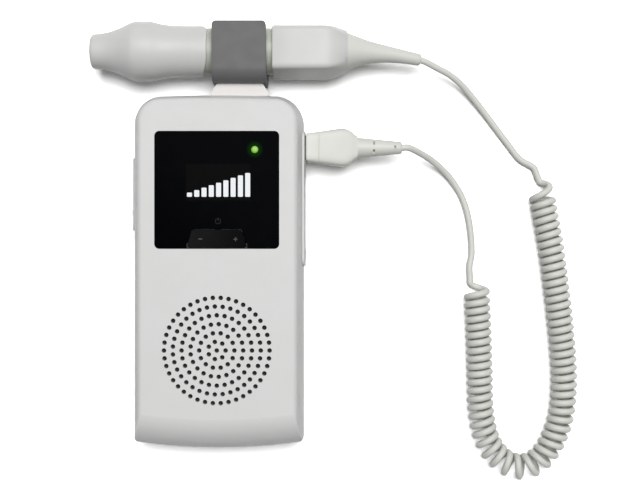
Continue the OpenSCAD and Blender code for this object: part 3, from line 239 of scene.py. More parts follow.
def lofted(outline, places):
    """A closed skin through copies of an outline, each put in its place by a matrix."""
    shape = bmesh.new()
    rim = [shape.verts.new(places[0] @ Vector((0, a, b))) for a, b in outline]
    edges = [shape.edges.new(pair) for pair in zip(rim, rim[1:] + rim[:1])]
    for before, after in zip(places, places[1:]):
        grown = bmesh.ops.extrude_edge_only(shape, edges=edges)["geom"]
        edges = [part for part in grown if isinstance(part, bmesh.types.BMEdge) and part.is_boundary]
        bmesh.ops.transform(shape, matrix=after @ before.inverted(), verts=new_points(grown))
    bmesh.ops.holes_fill(shape, edges=[edge for edge in shape.edges if edge.is_boundary], sides=0)
    bmesh.ops.recalc_face_normals(shape, faces=shape.faces[:])
    return shape


def circle(sides):
    return [(math.cos(math.tau * k / sides), math.sin(math.tau * k / sides)) for k in range(sides)]


def tube(line, radius, sides, sideways=None):
    """A round tube along a line, of one radius or a list of them. Each ring starts on the side given."""
    radii = radius if isinstance(radius, list) else [radius] * len(line)
    places = []
    for i, ahead in enumerate(headings(line)):
        side = sideways[i] if sideways else ahead.cross(Vector((0, 0, 1)))
        side = (side - ahead * ahead.dot(side)).normalized()
        turn = Matrix((ahead, side, ahead.cross(side))).transposed().to_4x4()
        places.append(Matrix.Translation(line[i]) @ turn @ Matrix.Diagonal((1, radii[i], radii[i], 1)))
    return lofted(circle(sides), places)


def piece(name, shape, slot, nodes, *materials, body=None, crease=40):
    """Ends a bmesh in millimetres as a piece that stands for its CAD nodes.

    Edges at which the skin turns by more than the crease angle stay sharp."""
    bmesh.ops.scale(shape, vec=(MM, MM, MM), verts=shape.verts[:])
    mesh = bpy.data.meshes.new(name)
    shape.to_mesh(mesh)
    shape.free()
    for face in mesh.polygons:
        face.use_smooth = True
    mesh.set_sharp_from_angle(angle=math.radians(crease))
    for material in materials:
        mesh.materials.append(material)
    made = bpy.data.objects.new(name, mesh)
    bpy.context.scene.collection.objects.link(made)
    if nodes:
        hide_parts(*nodes)
    if body:
        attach(made, body)
    return made


def surface_of(name):
    """A new material, its surface's sockets, and the place on the object from which its patterns start."""
    material = bpy.data.materials.new(name)
    material.use_nodes = True
    place = Wire(material.node_tree).node("ShaderNodeTexCoord", output="Object")
    return material, material.node_tree.nodes["Principled BSDF"].inputs, place


drift_scale, drift_low, drift_high, drift_share = 45, 0.35, 0.75, 0.6
rub_scale, rub_share = 180, 0.2
grain_strength = 0.5


def moulded(name, colour, shade, roughness, grain, depth, gloss=0.5, marks=None):
    """A moulded plastic, whose colour drifts a little towards a shade, with the fine grain of its mould.

    marks(place, colour) may change the colour from the object's own coordinates."""
    material, sockets, place = surface_of(name)
    tone = (place.noise(drift_scale, 3).fade(drift_low, drift_high) * drift_share).mix(colour, shade)
    (marks(place, tone) if marks else tone).feed(sockets["Base Color"])
    (roughness + (place.noise(rub_scale, 4) - 0.5) * rub_share).feed(sockets["Roughness"])
    place.noise(1 / grain, 2).bump(grain_strength, depth).feed(sockets["Normal"])
    sockets["Specular IOR Level"].default_value = gloss
    return material


# The curls are even along the inner side of the bend, and over the length of two curls at each end they
# open until the cord runs straight. A guide point keeps it straight up to the coil.
coil_r = curl_d / 2 - cord_r
opening_curls = 2
exit_angle = math.radians(-60)
coil_line_steps, steps_per_curl, opening_steps, route_steps = 10, 20, 36, 5
guide_l = 0.1
coil_line = smooth_line([(x, y, 0) for x, y in coil_points], coil_line_steps)
coil_ahead = headings(coil_line)
inner_line = [p - coil_r * Vector((-h.y, h.x, 0)) for p, h in zip(coil_line, coil_ahead)]
inner_run = [0]
for p, q in zip(inner_line, inner_line[1:]):
    inner_run.append(inner_run[-1] + (q - p).length)
coil_length = inner_run[-1]
curl_pitch = coil_length / (curls + opening_curls)
opening_l = opening_curls * curl_pitch


def along(values, s):
    """The value at a distance s along the inner side, between the two nearest ones in the list."""
    k = next((i for i in range(1, len(inner_run) - 1) if inner_run[i] >= s), len(inner_run) - 1)
    return values[k - 1].lerp(values[k], (s - inner_run[k - 1]) / (inner_run[k] - inner_run[k - 1]))


def curl_angle(s):
    """The cord's angle round the coil's middle line, which turns ever slower towards the ends."""
    if s < opening_l:
        turned = math.pi / opening_curls * (s / curl_pitch) ** 2
    elif s > coil_length - opening_l:
        turned = math.tau * curls - math.pi / opening_curls * ((coil_length - s) / curl_pitch) ** 2
    else:
        turned = math.tau * (s / curl_pitch - opening_curls / 2)
    return exit_angle + turned


def spoke(s):
    """The direction from the coil's middle line out to the cord."""
    ahead = along(coil_ahead, s).normalized()
    a = curl_angle(s)
    return Vector((-ahead.y * math.cos(a), ahead.x * math.cos(a), math.sin(a)))


def coil_place(s):
    return along(coil_line, s) + Vector((0, 0, coil_r + cord_r)) + coil_r * spoke(s)


even_steps = steps_per_curl * (curls - opening_curls)
coil_steps = (
    [opening_l * k / opening_steps for k in range(opening_steps)]
    + [curl_pitch * (opening_curls + k / steps_per_curl) for k in range(even_steps + 1)]
    + [coil_length - opening_l * k / opening_steps for k in range(opening_steps - 1, -1, -1)]
)
first_ahead, last_ahead = coil_ahead[0], coil_ahead[-1]
coil_start = coil_place(0) - 2 * cord_r * first_ahead
coil_end = coil_place(coil_length) + 2 * cord_r * last_ahead
coil_route = ([coil_start, coil_place(0) - guide_l * first_ahead] + [coil_place(s) for s in coil_steps]
    + [coil_place(coil_length) + guide_l * last_ahead, coil_end])
coil_spokes = [spoke(0)] * 2 + [spoke(s) for s in coil_steps] + [spoke(coil_length)] * 2
upper_route = smooth_line([relief_end, relief_end + end_straight * relief_ahead] + upper_points
    + [coil_start - coil_straight * first_ahead, coil_start], route_steps)
lower_route = smooth_line([boot_end, boot_end + Vector((end_straight, 0, 0))] + lower_points
    + [coil_end + coil_straight * last_ahead, coil_end], route_steps)


def cord_facts(route, lay):
    return dict(exit=route[0] * MM, length=sum((q - p).length for p, q in zip(route, route[1:])) * MM,
        diameter=2 * cord_r * MM, far_end="object", stiffness="medium", lay=lay,
        path=[p * MM for p in route])


cord_material = moulded("cord_jacket", (0.68, 0.68, 0.64), (0.63, 0.635, 0.595), roughness=0.45,
    grain=0.0012, depth=0.00003, gloss=0.35)
cord_upper = piece("upper_cord", tube(upper_route, cord_r, cord_sides), "cord", ["cord_upper"],
    cord_material)
cord_coil = piece("curly_cord", tube(coil_route, cord_r, coil_sides, coil_spokes), "cord", ["cord_coil"],
    cord_material, body="handset")
cord_lower = piece("lower_cord", tube(lower_route, cord_r, cord_sides), "cord", ["cord_lower"],
    cord_material)
coil_start * MM
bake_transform(cord_upper)
coil_end * MM
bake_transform(cord_lower)
cord_facts(upper_route, "loose")
cord_facts(coil_route, "coiled")
cord_facts(lower_route, "loose")

# Strain relief: a soft horn in the jacket's own plastic, moulded round the cord. Its root is locked in the
# grip, its wide end sits in the grip's mouth with a fine gap round it, and it narrows to a blunt lip from
# which the cord comes.
probe_y, probe_z = 91.4, 14
relief_x = 52.9
relief_seat = 1.2
relief_root_l, relief_root_r = 6.5, 4.8
step_l = 0.01
seat_edge_l, seat_edge_r = 0.4, 0.3
horn_r, horn_fade = 7.9, 12.3
horn_sides, horn_steps = 48, 8
lip_r, lip_round = 2, 0.85
relief_points = [
    (54.9, 91.4, 14), (57.9, 91.3, 13.9), (62.9, 91, 13.6), (68.9, 90.5, 13.1), (74.9, 89.8, 12.3)
]


def horn_radius(x):
    return lip_r + (horn_r - lip_r) * math.exp((relief_x - x) / horn_fade)


root_line = [Vector((relief_x + x, probe_y, probe_z))
    for x in (-relief_root_l, -relief_seat, -relief_seat + step_l, -relief_seat + seat_edge_l)]
root_radii = [relief_root_r, relief_root_r, horn_r - seat_edge_r, horn_r]
horn_line = smooth_line([(relief_x, probe_y, probe_z)] + relief_points + [relief_end], horn_steps)
horn_radii = [horn_radius(p.x) for p in horn_line]
horn_radii[-1] *= lip_round
relief = tube(root_line + horn_line, root_radii + horn_radii, horn_sides)
piece("relief_horn", relief, "cord", ["strain_relief"], cord_material, body="probe")

# Plug: a soft shell moulded over the insert that carries the blades, flat oval and swelling to a shoulder
# for the fingers. A fine groove sets off its collar, and a tapered boot with staggered slots lets the cord
# bend behind it. Points along the shell give its half width and half thickness.
plug_x, plug_y, plug_z = 35.9, 51.5, 13
plug_face = Vector((0, 5.6, 4.3))
swell_points = [
    (0.4, 5.9, 4.6), (2.7, 6.2, 4.7), (5, 6.5, 4.8), (5.4, 6.56, 4.82), (10, 7.2, 5.03), (14, 7.75, 5.18),
    (16.2, 7.7, 5.14), (18.4, 6.75, 4.9), (20.1, 5.25, 4.55), (21.3, 4.5, 4.32)
]
collar_l = 5
groove_w, groove_depth = 0.4, 0.2
squareness = 6
plug_sides, plug_steps = 64, 6
boot_x, boot_l, boot_r, boot_thin_r = 57.2, 18.5, 4.3, 2.5
boot_sides = 24
boot_root_rings = {0, 0.3, 3.2}
boot_slots = [(6.4, (-30, 30, 150, 210)), (10.9, (90, 270)), (15.2, (0, 180))]
slot_w = 0.8
slot_floor_share = 0.4
# The boot's tip is rounded: its radius is this much smaller at these distances from the end.
boot_tip_falls = {0.5: 0, 0.15: 0.12, 0: 0.4}


def flat_oval(sides):
    """A circle drawn out towards a square."""
    return [tuple(math.copysign(abs(a) ** (2 / squareness), a) for a in point) for point in circle(sides)]


def plug_place(station):
    """Puts the shell's section at a station along it, drawn in where the groove runs."""
    x, half_w, half_t = station
    dip = groove_depth if collar_l + step_l < x < collar_l + groove_w - step_l else 0
    return (Matrix.Translation((plug_x + x, plug_y, plug_z))
        @ Matrix.Diagonal((1, half_w - dip, half_t - dip, 1)))


def slot_cover(boot, at, angle):
    """The faces over a slot of the boot: between the slot's two rings, and on either side of an angle."""
    cover = []
    for face in boot.faces:
        middle = face.calc_center_median() - Vector((boot_x, plug_y, plug_z))
        away = (math.degrees(math.atan2(middle.y, middle.z)) - angle + 180) % 360 - 180
        if at < middle.x < at + slot_w and abs(away) < 360 / boot_sides:
            cover.append(face)
    return cover


stations = [plug_face] + smooth_line(swell_points, plug_steps)
piece("plug_grip", lofted(flat_oval(plug_sides), [plug_place(station) for station in stations]), "plug",
    ["plug_shell"], cord_material, body="plug")

slot_rings = {at + w for at, _ in boot_slots for w in (0, slot_w)}
boot_falls = {boot_l - back: fall for back, fall in boot_tip_falls.items()}
boot_steps = sorted(boot_root_rings | slot_rings | set(boot_falls))
boot_line = [Vector((boot_x + x, plug_y, plug_z)) for x in boot_steps]
boot_radii = [boot_r + (boot_thin_r - boot_r) * x / boot_l - boot_falls.get(x, 0) for x in boot_steps]
boot = tube(boot_line, boot_radii, boot_sides)
for at, angles in boot_slots:
    for angle in angles:
        cover = slot_cover(boot, at, angle)
        grown = bmesh.ops.extrude_face_region(boot, geom=cover)["geom"]
        bmesh.ops.scale(boot, vec=(1, slot_floor_share, slot_floor_share), verts=new_points(grown),
            space=Matrix.Translation((0, -plug_y, -plug_z)))
        bmesh.ops.delete(boot, geom=cover, context="FACES")
piece("plug_boot_sleeve", boot, "plug", ["plug_boot"], cord_material, body="plug")


def dress(material, *nodes):
    """Gives a material to CAD nodes whose shape stays."""
    for node in nodes:
        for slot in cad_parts[node].material_slots:
            slot.material = material


cloud_scale, cloud_low, cloud_high, cloud_share = 300, 0.3, 0.7, 0.25
draw_scale, draw_strength, draw_depth = (400, 4000, 4000), 0.3, 0.00001


def plated(name, colour, tint, roughness):
    """A plated metal, drawn or stamped: faint marks run along it and its polish is uneven."""
    material, sockets, place = surface_of(name)
    cloud = place.noise(cloud_scale, 3)
    cloud.fade(cloud_low, cloud_high).mix(colour, tint).feed(sockets["Base Color"])
    sockets["Metallic"].default_value = 1
    (roughness + (cloud - 0.5) * cloud_share).feed(sockets["Roughness"])
    drawn_out = place.node("ShaderNodeMapping", {"Vector": place, "Scale": draw_scale})
    drawn_out.noise(1, 2).bump(draw_strength, draw_depth).feed(sockets["Normal"])
    return material


dark_material = moulded("dark_plastic", (0.02, 0.02, 0.021), (0.014, 0.014, 0.015), roughness=0.5,
    grain=0.0006, depth=0.00002)
gilt_material = plated("gilt_contact", (0.78, 0.58, 0.26), (0.70, 0.50, 0.20), roughness=0.3)
steel_material = plated("plated_steel", (0.55, 0.55, 0.56), (0.45, 0.45, 0.47), roughness=0.32)
dress(dark_material, "plug_insert")
dress(gilt_material, "plug_blades")

# Shells: front and back of the handset and the battery door, moulded in pale satin plastic with a fine
# spark texture. The walls of the window's recess and of the well under the rocker key are painted black:
# a painted shade that darkens the gaps there.
window_y, window_half_w, window_half_h = 33.2, 25.1, 23.7
belt_z, face_z = 14, 28
recess_shade_out, recess_shade_edge = 0.25, 0.05
recess_shade_low, recess_shade_high = belt_z + 1, face_z - 0.1
recess_shade_black = grey(0.01)
shell_skin = dict(roughness=0.5, grain=0.0005, depth=0.00002, gloss=0.35)


def in_mm(place):
    """The three coordinates of a place, in millimetres."""
    return [place.node("ShaderNodeSeparateXYZ", {"Vector": place}, output=k) * (1 / MM) for k in range(3)]


# Painted shade: paints the walls of the window's recess and of the rocker's well black, so the gaps show
# dark.
def recess_painted_shade(place, tone):
    x, y, z = in_mm(place)
    shaded_in = (abs(x).below(window_half_w + recess_shade_out, recess_shade_edge)
        * abs(y - window_y).below(window_half_h + recess_shade_out, recess_shade_edge)
        * z.below(recess_shade_high, recess_shade_edge) * z.above(recess_shade_low, recess_shade_edge))
    return shaded_in.mix(tone, recess_shade_black)


shell_material = moulded("shell_plastic", (0.665, 0.665, 0.66), (0.645, 0.645, 0.635), marks=recess_painted_shade,
    **shell_skin)
dress(shell_material, "front_shell", "back_shell", "battery_door")

# Window: a sheet of acrylic, printed black behind, that is stuck into the recess of the front. The
# display's glass shows as a slightly paler field. A painted green glow round the status light's hole
# stands for that light falling on the sheet.
display_x, display_y, display_half_w, display_half_h = 0.5, 36.3, 13.2, 7.6
display_edge = 0.4
display_black, painted_glow_green = (0.003, 0.003, 0.0032), (0.002, 0.03, 0.001)
light_x, light_y, light_r = 15.3, 49.5, 1.4
painted_glow_r, painted_glow_full_r = 3.9, 0.98
polish = dict(grain=0.004, depth=0.000002)


def from_light(place):
    """How far a place is from the top of the status light."""
    return place.distance((light_x * MM, light_y * MM, face_z * MM))


# A paler field over the display, and a painted glow of green light on the sheet round the status light.
def behind_glass(place, tone):
    x, y, _ = in_mm(place)
    field = (abs(x - display_x).below(display_half_w, display_edge)
        * abs(y - display_y).below(display_half_h, display_edge))
    glow = from_light(place).fade(painted_glow_r * MM, painted_glow_full_r * MM)
    return glow.mix(field.mix(tone, display_black), painted_glow_green)


window_material = moulded("window_acrylic", (0.0008, 0.001, 0.0015), (0.0006, 0.0008, 0.0012),
    roughness=0.16, gloss=0.004, marks=behind_glass, **polish)
dress(window_material, "display_window")

# Display: a small glass module behind the window. It is lit and shows a rising row of level bars, drawn
# here as a skin on the window's face. A dim ring with a stroke, the common sign for power, is printed over
# the rocker key.
print_t = 0.03
bars = 9
bars_x0, bars_x1, bars_y = -12, 13.5, 30.4
bar_gap, bar_corner = 0.9, 0.35
bar_low, bar_high = 1.7, 9.6
power_x, power_y = 0.5, 20.6
power_line = 0.2
ring_r, ring_start, ring_sweep, ring_steps, ring_sides = 1.05, 125, 290, 36, 6
stroke_low, stroke_high, stroke_corner = 0.15, 1.35, 0.08
corner_steps = 6
coat_scale, coat_low, coat_high = 2500, 0.3, 0.7
thin_coat = 0.9


def oblong(x0, x1, y0, y1, corner, low, high):
    """A flat slab between two heights, with round corners."""
    shape = bmesh.new()
    rim = [shape.verts.new((x, y, low)) for x, y in ((x0, y0), (x1, y0), (x1, y1), (x0, y1))]
    shape.faces.new(rim)
    for vert in rim:
        bmesh.ops.bevel(shape, geom=[vert], offset=corner, offset_type="OFFSET", segments=corner_steps,
            profile=0.5, affect="VERTICES", material=-1)
    grown = bmesh.ops.extrude_face_region(shape, geom=shape.faces[:])["geom"]
    bmesh.ops.translate(shape, vec=(0, 0, high - low), verts=new_points(grown))
    bmesh.ops.recalc_face_normals(shape, faces=shape.faces[:])
    return shape


def together(*shapes):
    """Several bmeshes as one. A shape's place in the row is its material's place in the piece."""
    whole = bmesh.new()
    for k, shape in enumerate(shapes):
        for face in shape.faces:
            face.material_index = k
        part = bpy.data.meshes.new("part")
        shape.to_mesh(part)
        shape.free()
        whole.from_mesh(part)
        bpy.data.meshes.remove(part)
    return whole


def inked(name, colour, glow=0):
    """Ink, or lit dots behind glass: nearly flat, with a faint unevenness in the coat."""
    material, sockets, place = surface_of(name)
    thinner = [thin_coat * share for share in colour]
    tone = place.noise(coat_scale, 2).fade(coat_low, coat_high).mix(colour, thinner)
    tone.feed(sockets["Base Color"])
    tone.feed(sockets["Emission Color"])
    sockets["Emission Strength"].default_value = glow
    sockets["Roughness"].default_value = 0.5
    sockets["Specular IOR Level"].default_value = 0.2
    return material


bar_pitch = (bars_x1 - bars_x0 + bar_gap) / bars
bar_w = bar_pitch - bar_gap
bar_shapes = []
for k in range(bars):
    x0 = bars_x0 + k * bar_pitch
    height = bar_low + (bar_high - bar_low) * k / (bars - 1)
    bar_shapes.append(oblong(x0, x0 + bar_w, bars_y, bars_y + height, bar_corner, face_z,
        face_z + print_t))
lit_material = inked("display_light", (0.80, 0.82, 0.85), glow=0.12)
piece("display_bars", together(*bar_shapes), "window", [], *[lit_material] * bars, body="handset")

ring_angles = [math.radians(ring_start + ring_sweep * k / ring_steps) for k in range(ring_steps + 1)]
ring_line = [Vector((power_x + ring_r * math.cos(a), power_y + ring_r * math.sin(a), face_z))
    for a in ring_angles]
power_ring = tube(ring_line, power_line / 2, ring_sides)
power_stroke = oblong(power_x - power_line / 2, power_x + power_line / 2, power_y + stroke_low,
    power_y + stroke_high, stroke_corner, face_z, face_z + power_line / 2)
dim_material = inked("dim_ink", (0.014, 0.014, 0.015))
piece("power_sign", together(power_ring, power_stroke), "window", [], dim_material, dim_material,
    body="handset")
glass_material = moulded("display_glass", (0.006, 0.006, 0.008), (0.004, 0.004, 0.006), roughness=0.1,
    **polish)
dress(glass_material, "display_module")

# Status light: a clear green lens with a low dome, pushed through the window from behind. A shoulder holds
# it, and the lamp under it on the board makes it glow.
dome_h = 0.22
dome_steps = 6
lens_low = 24.2
lens_sides = 48
shoulder_out, shoulder_z = 0.6, 25.5
hot_r = 0.2
lens_middle, lens_rim = (0.24, 0.48, 0.06), (0.17, 0.40, 0.035)
merge_within = 1e-4


def spun(profile, place, sides):
    """A solid of revolution from points (radius, height) on its axis, put in its place by a matrix."""
    shape = bmesh.new()
    points = [shape.verts.new((r, 0, h)) for r, h in profile]
    edges = [shape.edges.new(pair) for pair in zip(points, points[1:])]
    bmesh.ops.spin(shape, geom=points + edges, axis=(0, 0, 1), cent=(0, 0, 0), dvec=(0, 0, 0),
        angle=math.tau, steps=sides, use_merge=True)
    bmesh.ops.remove_doubles(shape, verts=shape.verts[:], dist=merge_within)
    bmesh.ops.recalc_face_normals(shape, faces=shape.faces[:])
    bmesh.ops.transform(shape, matrix=place, verts=shape.verts[:])
    return shape


dome = [(light_r * math.cos(a), face_z - dome_h + dome_h * math.sin(a))
    for a in (math.pi / 2 * k / dome_steps for k in range(dome_steps + 1))]
shoulder_r = light_r + shoulder_out
shoulder = [(0, lens_low), (shoulder_r, lens_low), (shoulder_r, shoulder_z), (light_r, shoulder_z)]
lens = spun(shoulder + dome, Matrix.Translation((light_x, light_y, 0)), lens_sides)
light_material, light_sockets, light_place = surface_of("green_lens")
green = from_light(light_place).fade(hot_r * MM, light_r * MM).mix(lens_middle, lens_rim)
green.feed(light_sockets["Base Color"])
green.feed(light_sockets["Emission Color"])
light_sockets["Emission Strength"].default_value = 0.25
light_sockets["Roughness"].default_value = 0.25
light_sockets["Specular IOR Level"].default_value = 0.25
piece("light_lens", lens, "light", ["status_light"], light_material, body="handset")

# Rocker key: a black acrylic cap in a notch of the window, with a shallow dish across it. It tips on a
# pivot and presses one of two snap domes. Its minus and plus are printed dim.
dish_r, cap_top, cap_half_w = 130, 28.7, 12
minus_x, minus_y = -6.6, 13.4
plus_x, plus_y = 7.6, 13.3
sign_half, sign_line, sign_corner = 0.8, 0.34, 0.1
sign_sunk, sign_proud = 0.03, 0.05


def dish_z(x):
    """The height of the cap's dished top, which is lowest in the middle."""
    return cap_top + math.sqrt(dish_r ** 2 - cap_half_w ** 2) - math.sqrt(dish_r ** 2 - x ** 2)


def sign_bar(x, y, half_w, half_h):
    return oblong(x - half_w, x + half_w, y - half_h, y + half_h, sign_corner, dish_z(x) - sign_sunk,
        dish_z(x) + sign_proud)


key_material = moulded("key_acrylic", (0.002, 0.002, 0.0022), (0.0015, 0.0015, 0.0017), roughness=0.25,
    gloss=0.02, **polish)
dress(key_material, "rocker_key")
sign_material = inked("sign_ink", (0.085, 0.085, 0.09))
minus = sign_bar(minus_x, minus_y, sign_half, sign_line / 2)
plus = together(sign_bar(plus_x, plus_y, sign_half, sign_line / 2),
    sign_bar(plus_x, plus_y, sign_line / 2, sign_half))
piece("rocker_minus", minus, "window", [], sign_material, body="rocker_key")
piece("rocker_plus", plus, "window", [], sign_material, sign_material, body="rocker_key")
dress(dark_material, "key_domes")

# Sides: a long panel on the right holds the probe's socket and the round earphone socket. On the left a
# narrow key works a small switch. Panel and key are moulded like the shells, in a slightly greyer plastic.
panel_material = moulded("panel_plastic", (0.60, 0.61, 0.595), (0.575, 0.585, 0.57), **shell_skin)
dress(panel_material, "port_panel", "side_key")
dress(dark_material, "probe_socket", "earphone_socket", "side_switch")

# Speaker: a round driver behind the holes of the front, with a steel frame, a paper cone and a domed cap,
# and a black woven cloth stuck over it against dust. Two thin leads go down from it to the board.
speaker_x, speaker_y = 0, -31.6
surround_r, cone_r, cap_r = 20, 16.5, 6
frame_steel = (0.36, 0.36, 0.37)
speaker_colours = {surround_r: grey(0.012), cone_r: (0.045, 0.043, 0.04), cap_r: (0.02, 0.02, 0.021)}
speaker_edge = 0.1
thread_pitch, thread_low = 0.45, 0.3
weave_strength, weave_depth = 0.6, 0.0001
lead_red, lead_black = (0.42, 0.02, 0.015), (0.012, 0.012, 0.012)
lead_fade, lead_edge = 0.9, 0.05


def speaker_rings(place, tone):
    """The surround, the cone and the cap, one inside the other on the frame."""
    x, y, _ = in_mm(place)
    reach = place.node("ShaderNodeCombineXYZ", {"X": x, "Y": y}).distance((speaker_x, speaker_y, 0))
    for r, colour in speaker_colours.items():
        tone = reach.below(r + speaker_edge, speaker_edge).mix(tone, colour)
    return tone


def woven(name, colour, thread, pitch):
    """A plain weave: threads pass over and under each other, raised where they cross on top."""
    material, sockets, place = surface_of(name)
    x, y, _ = in_mm(place)
    warp = place.maths("SINE", x * (math.tau / pitch))
    weft = place.maths("SINE", y * (math.tau / pitch))
    height = place.maths("MAXIMUM", abs(warp), abs(weft))
    height.fade(thread_low, 1).mix(colour, thread).feed(sockets["Base Color"])
    sockets["Roughness"].default_value = 0.8
    height.bump(weave_strength, weave_depth).feed(sockets["Normal"])
    return material


def insulated(name, first, second, axis, middle):
    """Wire jackets of two colours, on the two sides of a plane across an axis."""
    def second_side(place, tone):
        return in_mm(place)[axis].fade(middle - lead_edge, middle + lead_edge).mix(tone, second)

    faded = [lead_fade * share for share in first]
    return moulded(name, first, faded, roughness=0.4, grain=0.002, depth=0.00001, marks=second_side)


driver_material = moulded("speaker_driver", frame_steel, frame_steel, roughness=0.6, grain=0.001,
    depth=0.00004, marks=speaker_rings)
cloth_material = woven("dust_cloth", grey(0.003), grey(0.012), thread_pitch)
dress(driver_material, "speaker")
dress(cloth_material, "speaker_mesh")
dress(insulated("speaker_wire", lead_red, lead_black, 0, speaker_x), "speaker_leads")

# Boards: glass-fibre boards under green lacquer, with copper tracks and gilt pads. Chips in black resin,
# sleeved cans, a lamp and a pin header are soldered to the main one, and two screws hold it on its posts.
region_scale = 110
track_pitch, track_share = 1.25, 0.36
pad_pitch, pad_share = 2.54, 0.3
stripe_edge, region_edge = 0.06, 0.01
turned_from, pads_from = 0.42, 0.6
track_green, pad_gilt = (0.02, 0.17, 0.06), (0.62, 0.46, 0.2)


def stripes(across, pitch, share):
    """1 on lines that repeat at a pitch, and cover a share of it."""
    return abs(across.maths("FRACT", across * (1 / pitch)) - 0.5).below(share / 2, stripe_edge)


def tracks(place, tone):
    """Copper tracks under the lacquer, which turn from one region to the next, and pads in some regions."""
    x, y, _ = in_mm(place)
    region = place.node("ShaderNodeTexVoronoi", {"Vector": place, "Scale": region_scale},
        output="Distance", distance="MANHATTAN")
    turned = region.above(turned_from, region_edge)
    copper = (turned * stripes(x, track_pitch, track_share)
        + (1 - turned) * stripes(y, track_pitch, track_share))
    pads = (stripes(x, pad_pitch, pad_share) * stripes(y, pad_pitch, pad_share)
        * region.above(pads_from, region_edge))
    return pads.mix(copper.mix(tone, track_green), pad_gilt)


board_material = moulded("green_lacquer", (0.008, 0.085, 0.03), (0.006, 0.07, 0.025), roughness=0.25,
    grain=0.003, depth=0.00001, marks=tracks)
resin_material = moulded("chip_resin", (0.018, 0.018, 0.019), (0.012, 0.012, 0.013), roughness=0.45,
    grain=0.0004, depth=0.00002)
dress(board_material, "main_board", "probe_board")
dress(resin_material, "board_parts")
dress(steel_material, "board_screws")

# Power: two AA cells side by side, one turned round, in printed jackets that are shrunk over their rims. A
# stamped contact meets each nub, and a conical spring of plated wire presses on each base.
cell_r, cell_l, cell_z = 7.25, 50.5, 9.8
cell_x = 7.4
cell_sides = 64
nub_r, nub_h = 2.7, 1.2
cell_top = cell_l - nub_h
left_base_y, right_base_y = -64.05, -16.55
jacket_from, jacket_to = 0.5, cell_top - 0.3
band_from, band_to = cell_l - 14, cell_top - 0.7
jacket_edge, band_edge = 0.05, 0.1
jacket_scale, jacket_dulls = 60, 0.6
jacket_black, jacket_shine = (0.028, 0.032, 0.04), (0.04, 0.045, 0.055)
can_steel, band_copper = grey(0.6), (0.55, 0.27, 0.13)
spring_wire, spring_foot_r, spring_tip_r = 0.8, 4, 2.4
spring_l, spring_turns, spring_steps, spring_sides = 3, 2, 32, 12
cell_profile = [
    (0, 0.25), (4.4, 0.25), (4.8, 0.05), (6.2, 0), (6.9, 0.15), (cell_r, 0.55), (cell_r, cell_top - 0.6),
    (6.95, cell_top - 0.15), (6.2, cell_top), (5.7, cell_top - 0.25), (3.4, cell_top - 0.1),
    (nub_r, cell_top + 0.25), (nub_r, cell_l - 0.25), (nub_r - 0.25, cell_l), (0, cell_l)
]


def cell_jacket(name, base_y, up):
    """Bare steel ends, a dark jacket over most of the can and a copper band by the nub."""
    material, sockets, place = surface_of(name)
    run = (in_mm(place)[1] - base_y) * up
    dark = place.noise(jacket_scale, 2).mix(jacket_black, jacket_shine)
    band = run.above(band_from, band_edge) * run.below(band_to, jacket_edge)
    wrapped = run.above(jacket_from, jacket_edge) * run.below(jacket_to, jacket_edge)
    wrapped.mix(can_steel, band.mix(dark, band_copper)).feed(sockets["Base Color"])
    (1 - jacket_dulls * wrapped).feed(sockets["Metallic"])
    sockets["Roughness"].default_value = 0.3
    return material


def spring_place(base_y, up, k):
    t = k / (spring_turns * spring_steps)
    r = spring_foot_r + (spring_tip_r - spring_foot_r) * t
    a = math.tau * spring_turns * t
    rise = spring_wire / 2 + (spring_l - spring_wire) * t
    y = base_y - up * (spring_l - rise)
    return Vector((-up * cell_x + r * math.cos(a), y, cell_z + r * math.sin(a)))


springs = []
for side, base_y, up in (("left", left_base_y, 1), ("right", right_base_y, -1)):
    turn = Matrix.Rotation(-up * math.pi / 2, 4, "X")
    cell = spun(cell_profile, Matrix.Translation((-up * cell_x, base_y, cell_z)) @ turn, cell_sides)
    jacket = cell_jacket(side + "_cell_jacket", base_y, up)
    piece(side + "_cell_can", cell, "cell", [side + "_cell"], jacket, body="handset")
    line = [spring_place(base_y, up, k) for k in range(spring_turns * spring_steps + 1)]
    springs.append(tube(line, spring_wire / 2, spring_sides, [Vector((0, up, 0))] * len(line)))
piece("cell_springs", together(*springs), "steel", ["battery_springs"], steel_material, steel_material,
    body="handset")
dress(steel_material, "battery_contacts", "case_screws")

# Fork clip: a springy grey plastic fork that the probe snaps into, screwed to a short neck on the handset's
# top. The neck is moulded in a slightly warmer white than the shells.
clip_material = moulded("clip_plastic", (0.125, 0.125, 0.127), (0.11, 0.11, 0.112), roughness=0.55,
    grain=0.0006, depth=0.00003, gloss=0.3)
neck_material = moulded("neck_plastic", (0.69, 0.665, 0.65), (0.67, 0.65, 0.635), **shell_skin)
dress(clip_material, "fork_clip")
dress(neck_material, "clip_neck")
dress(steel_material, "clip_screws")

# Probe: a long nose with a bulge for the fingertips, a waist that the fork holds, and a grip with a flat
# face in front. The waist is painted a darker grey-green, a painted shade for the fork's shadow on it.
# Nose and grip are hollow satin mouldings, pushed over the waist's two ends. The nose's rear edge and the
# grip's far end are drawn round like a tongue.
tip_x = -53.2
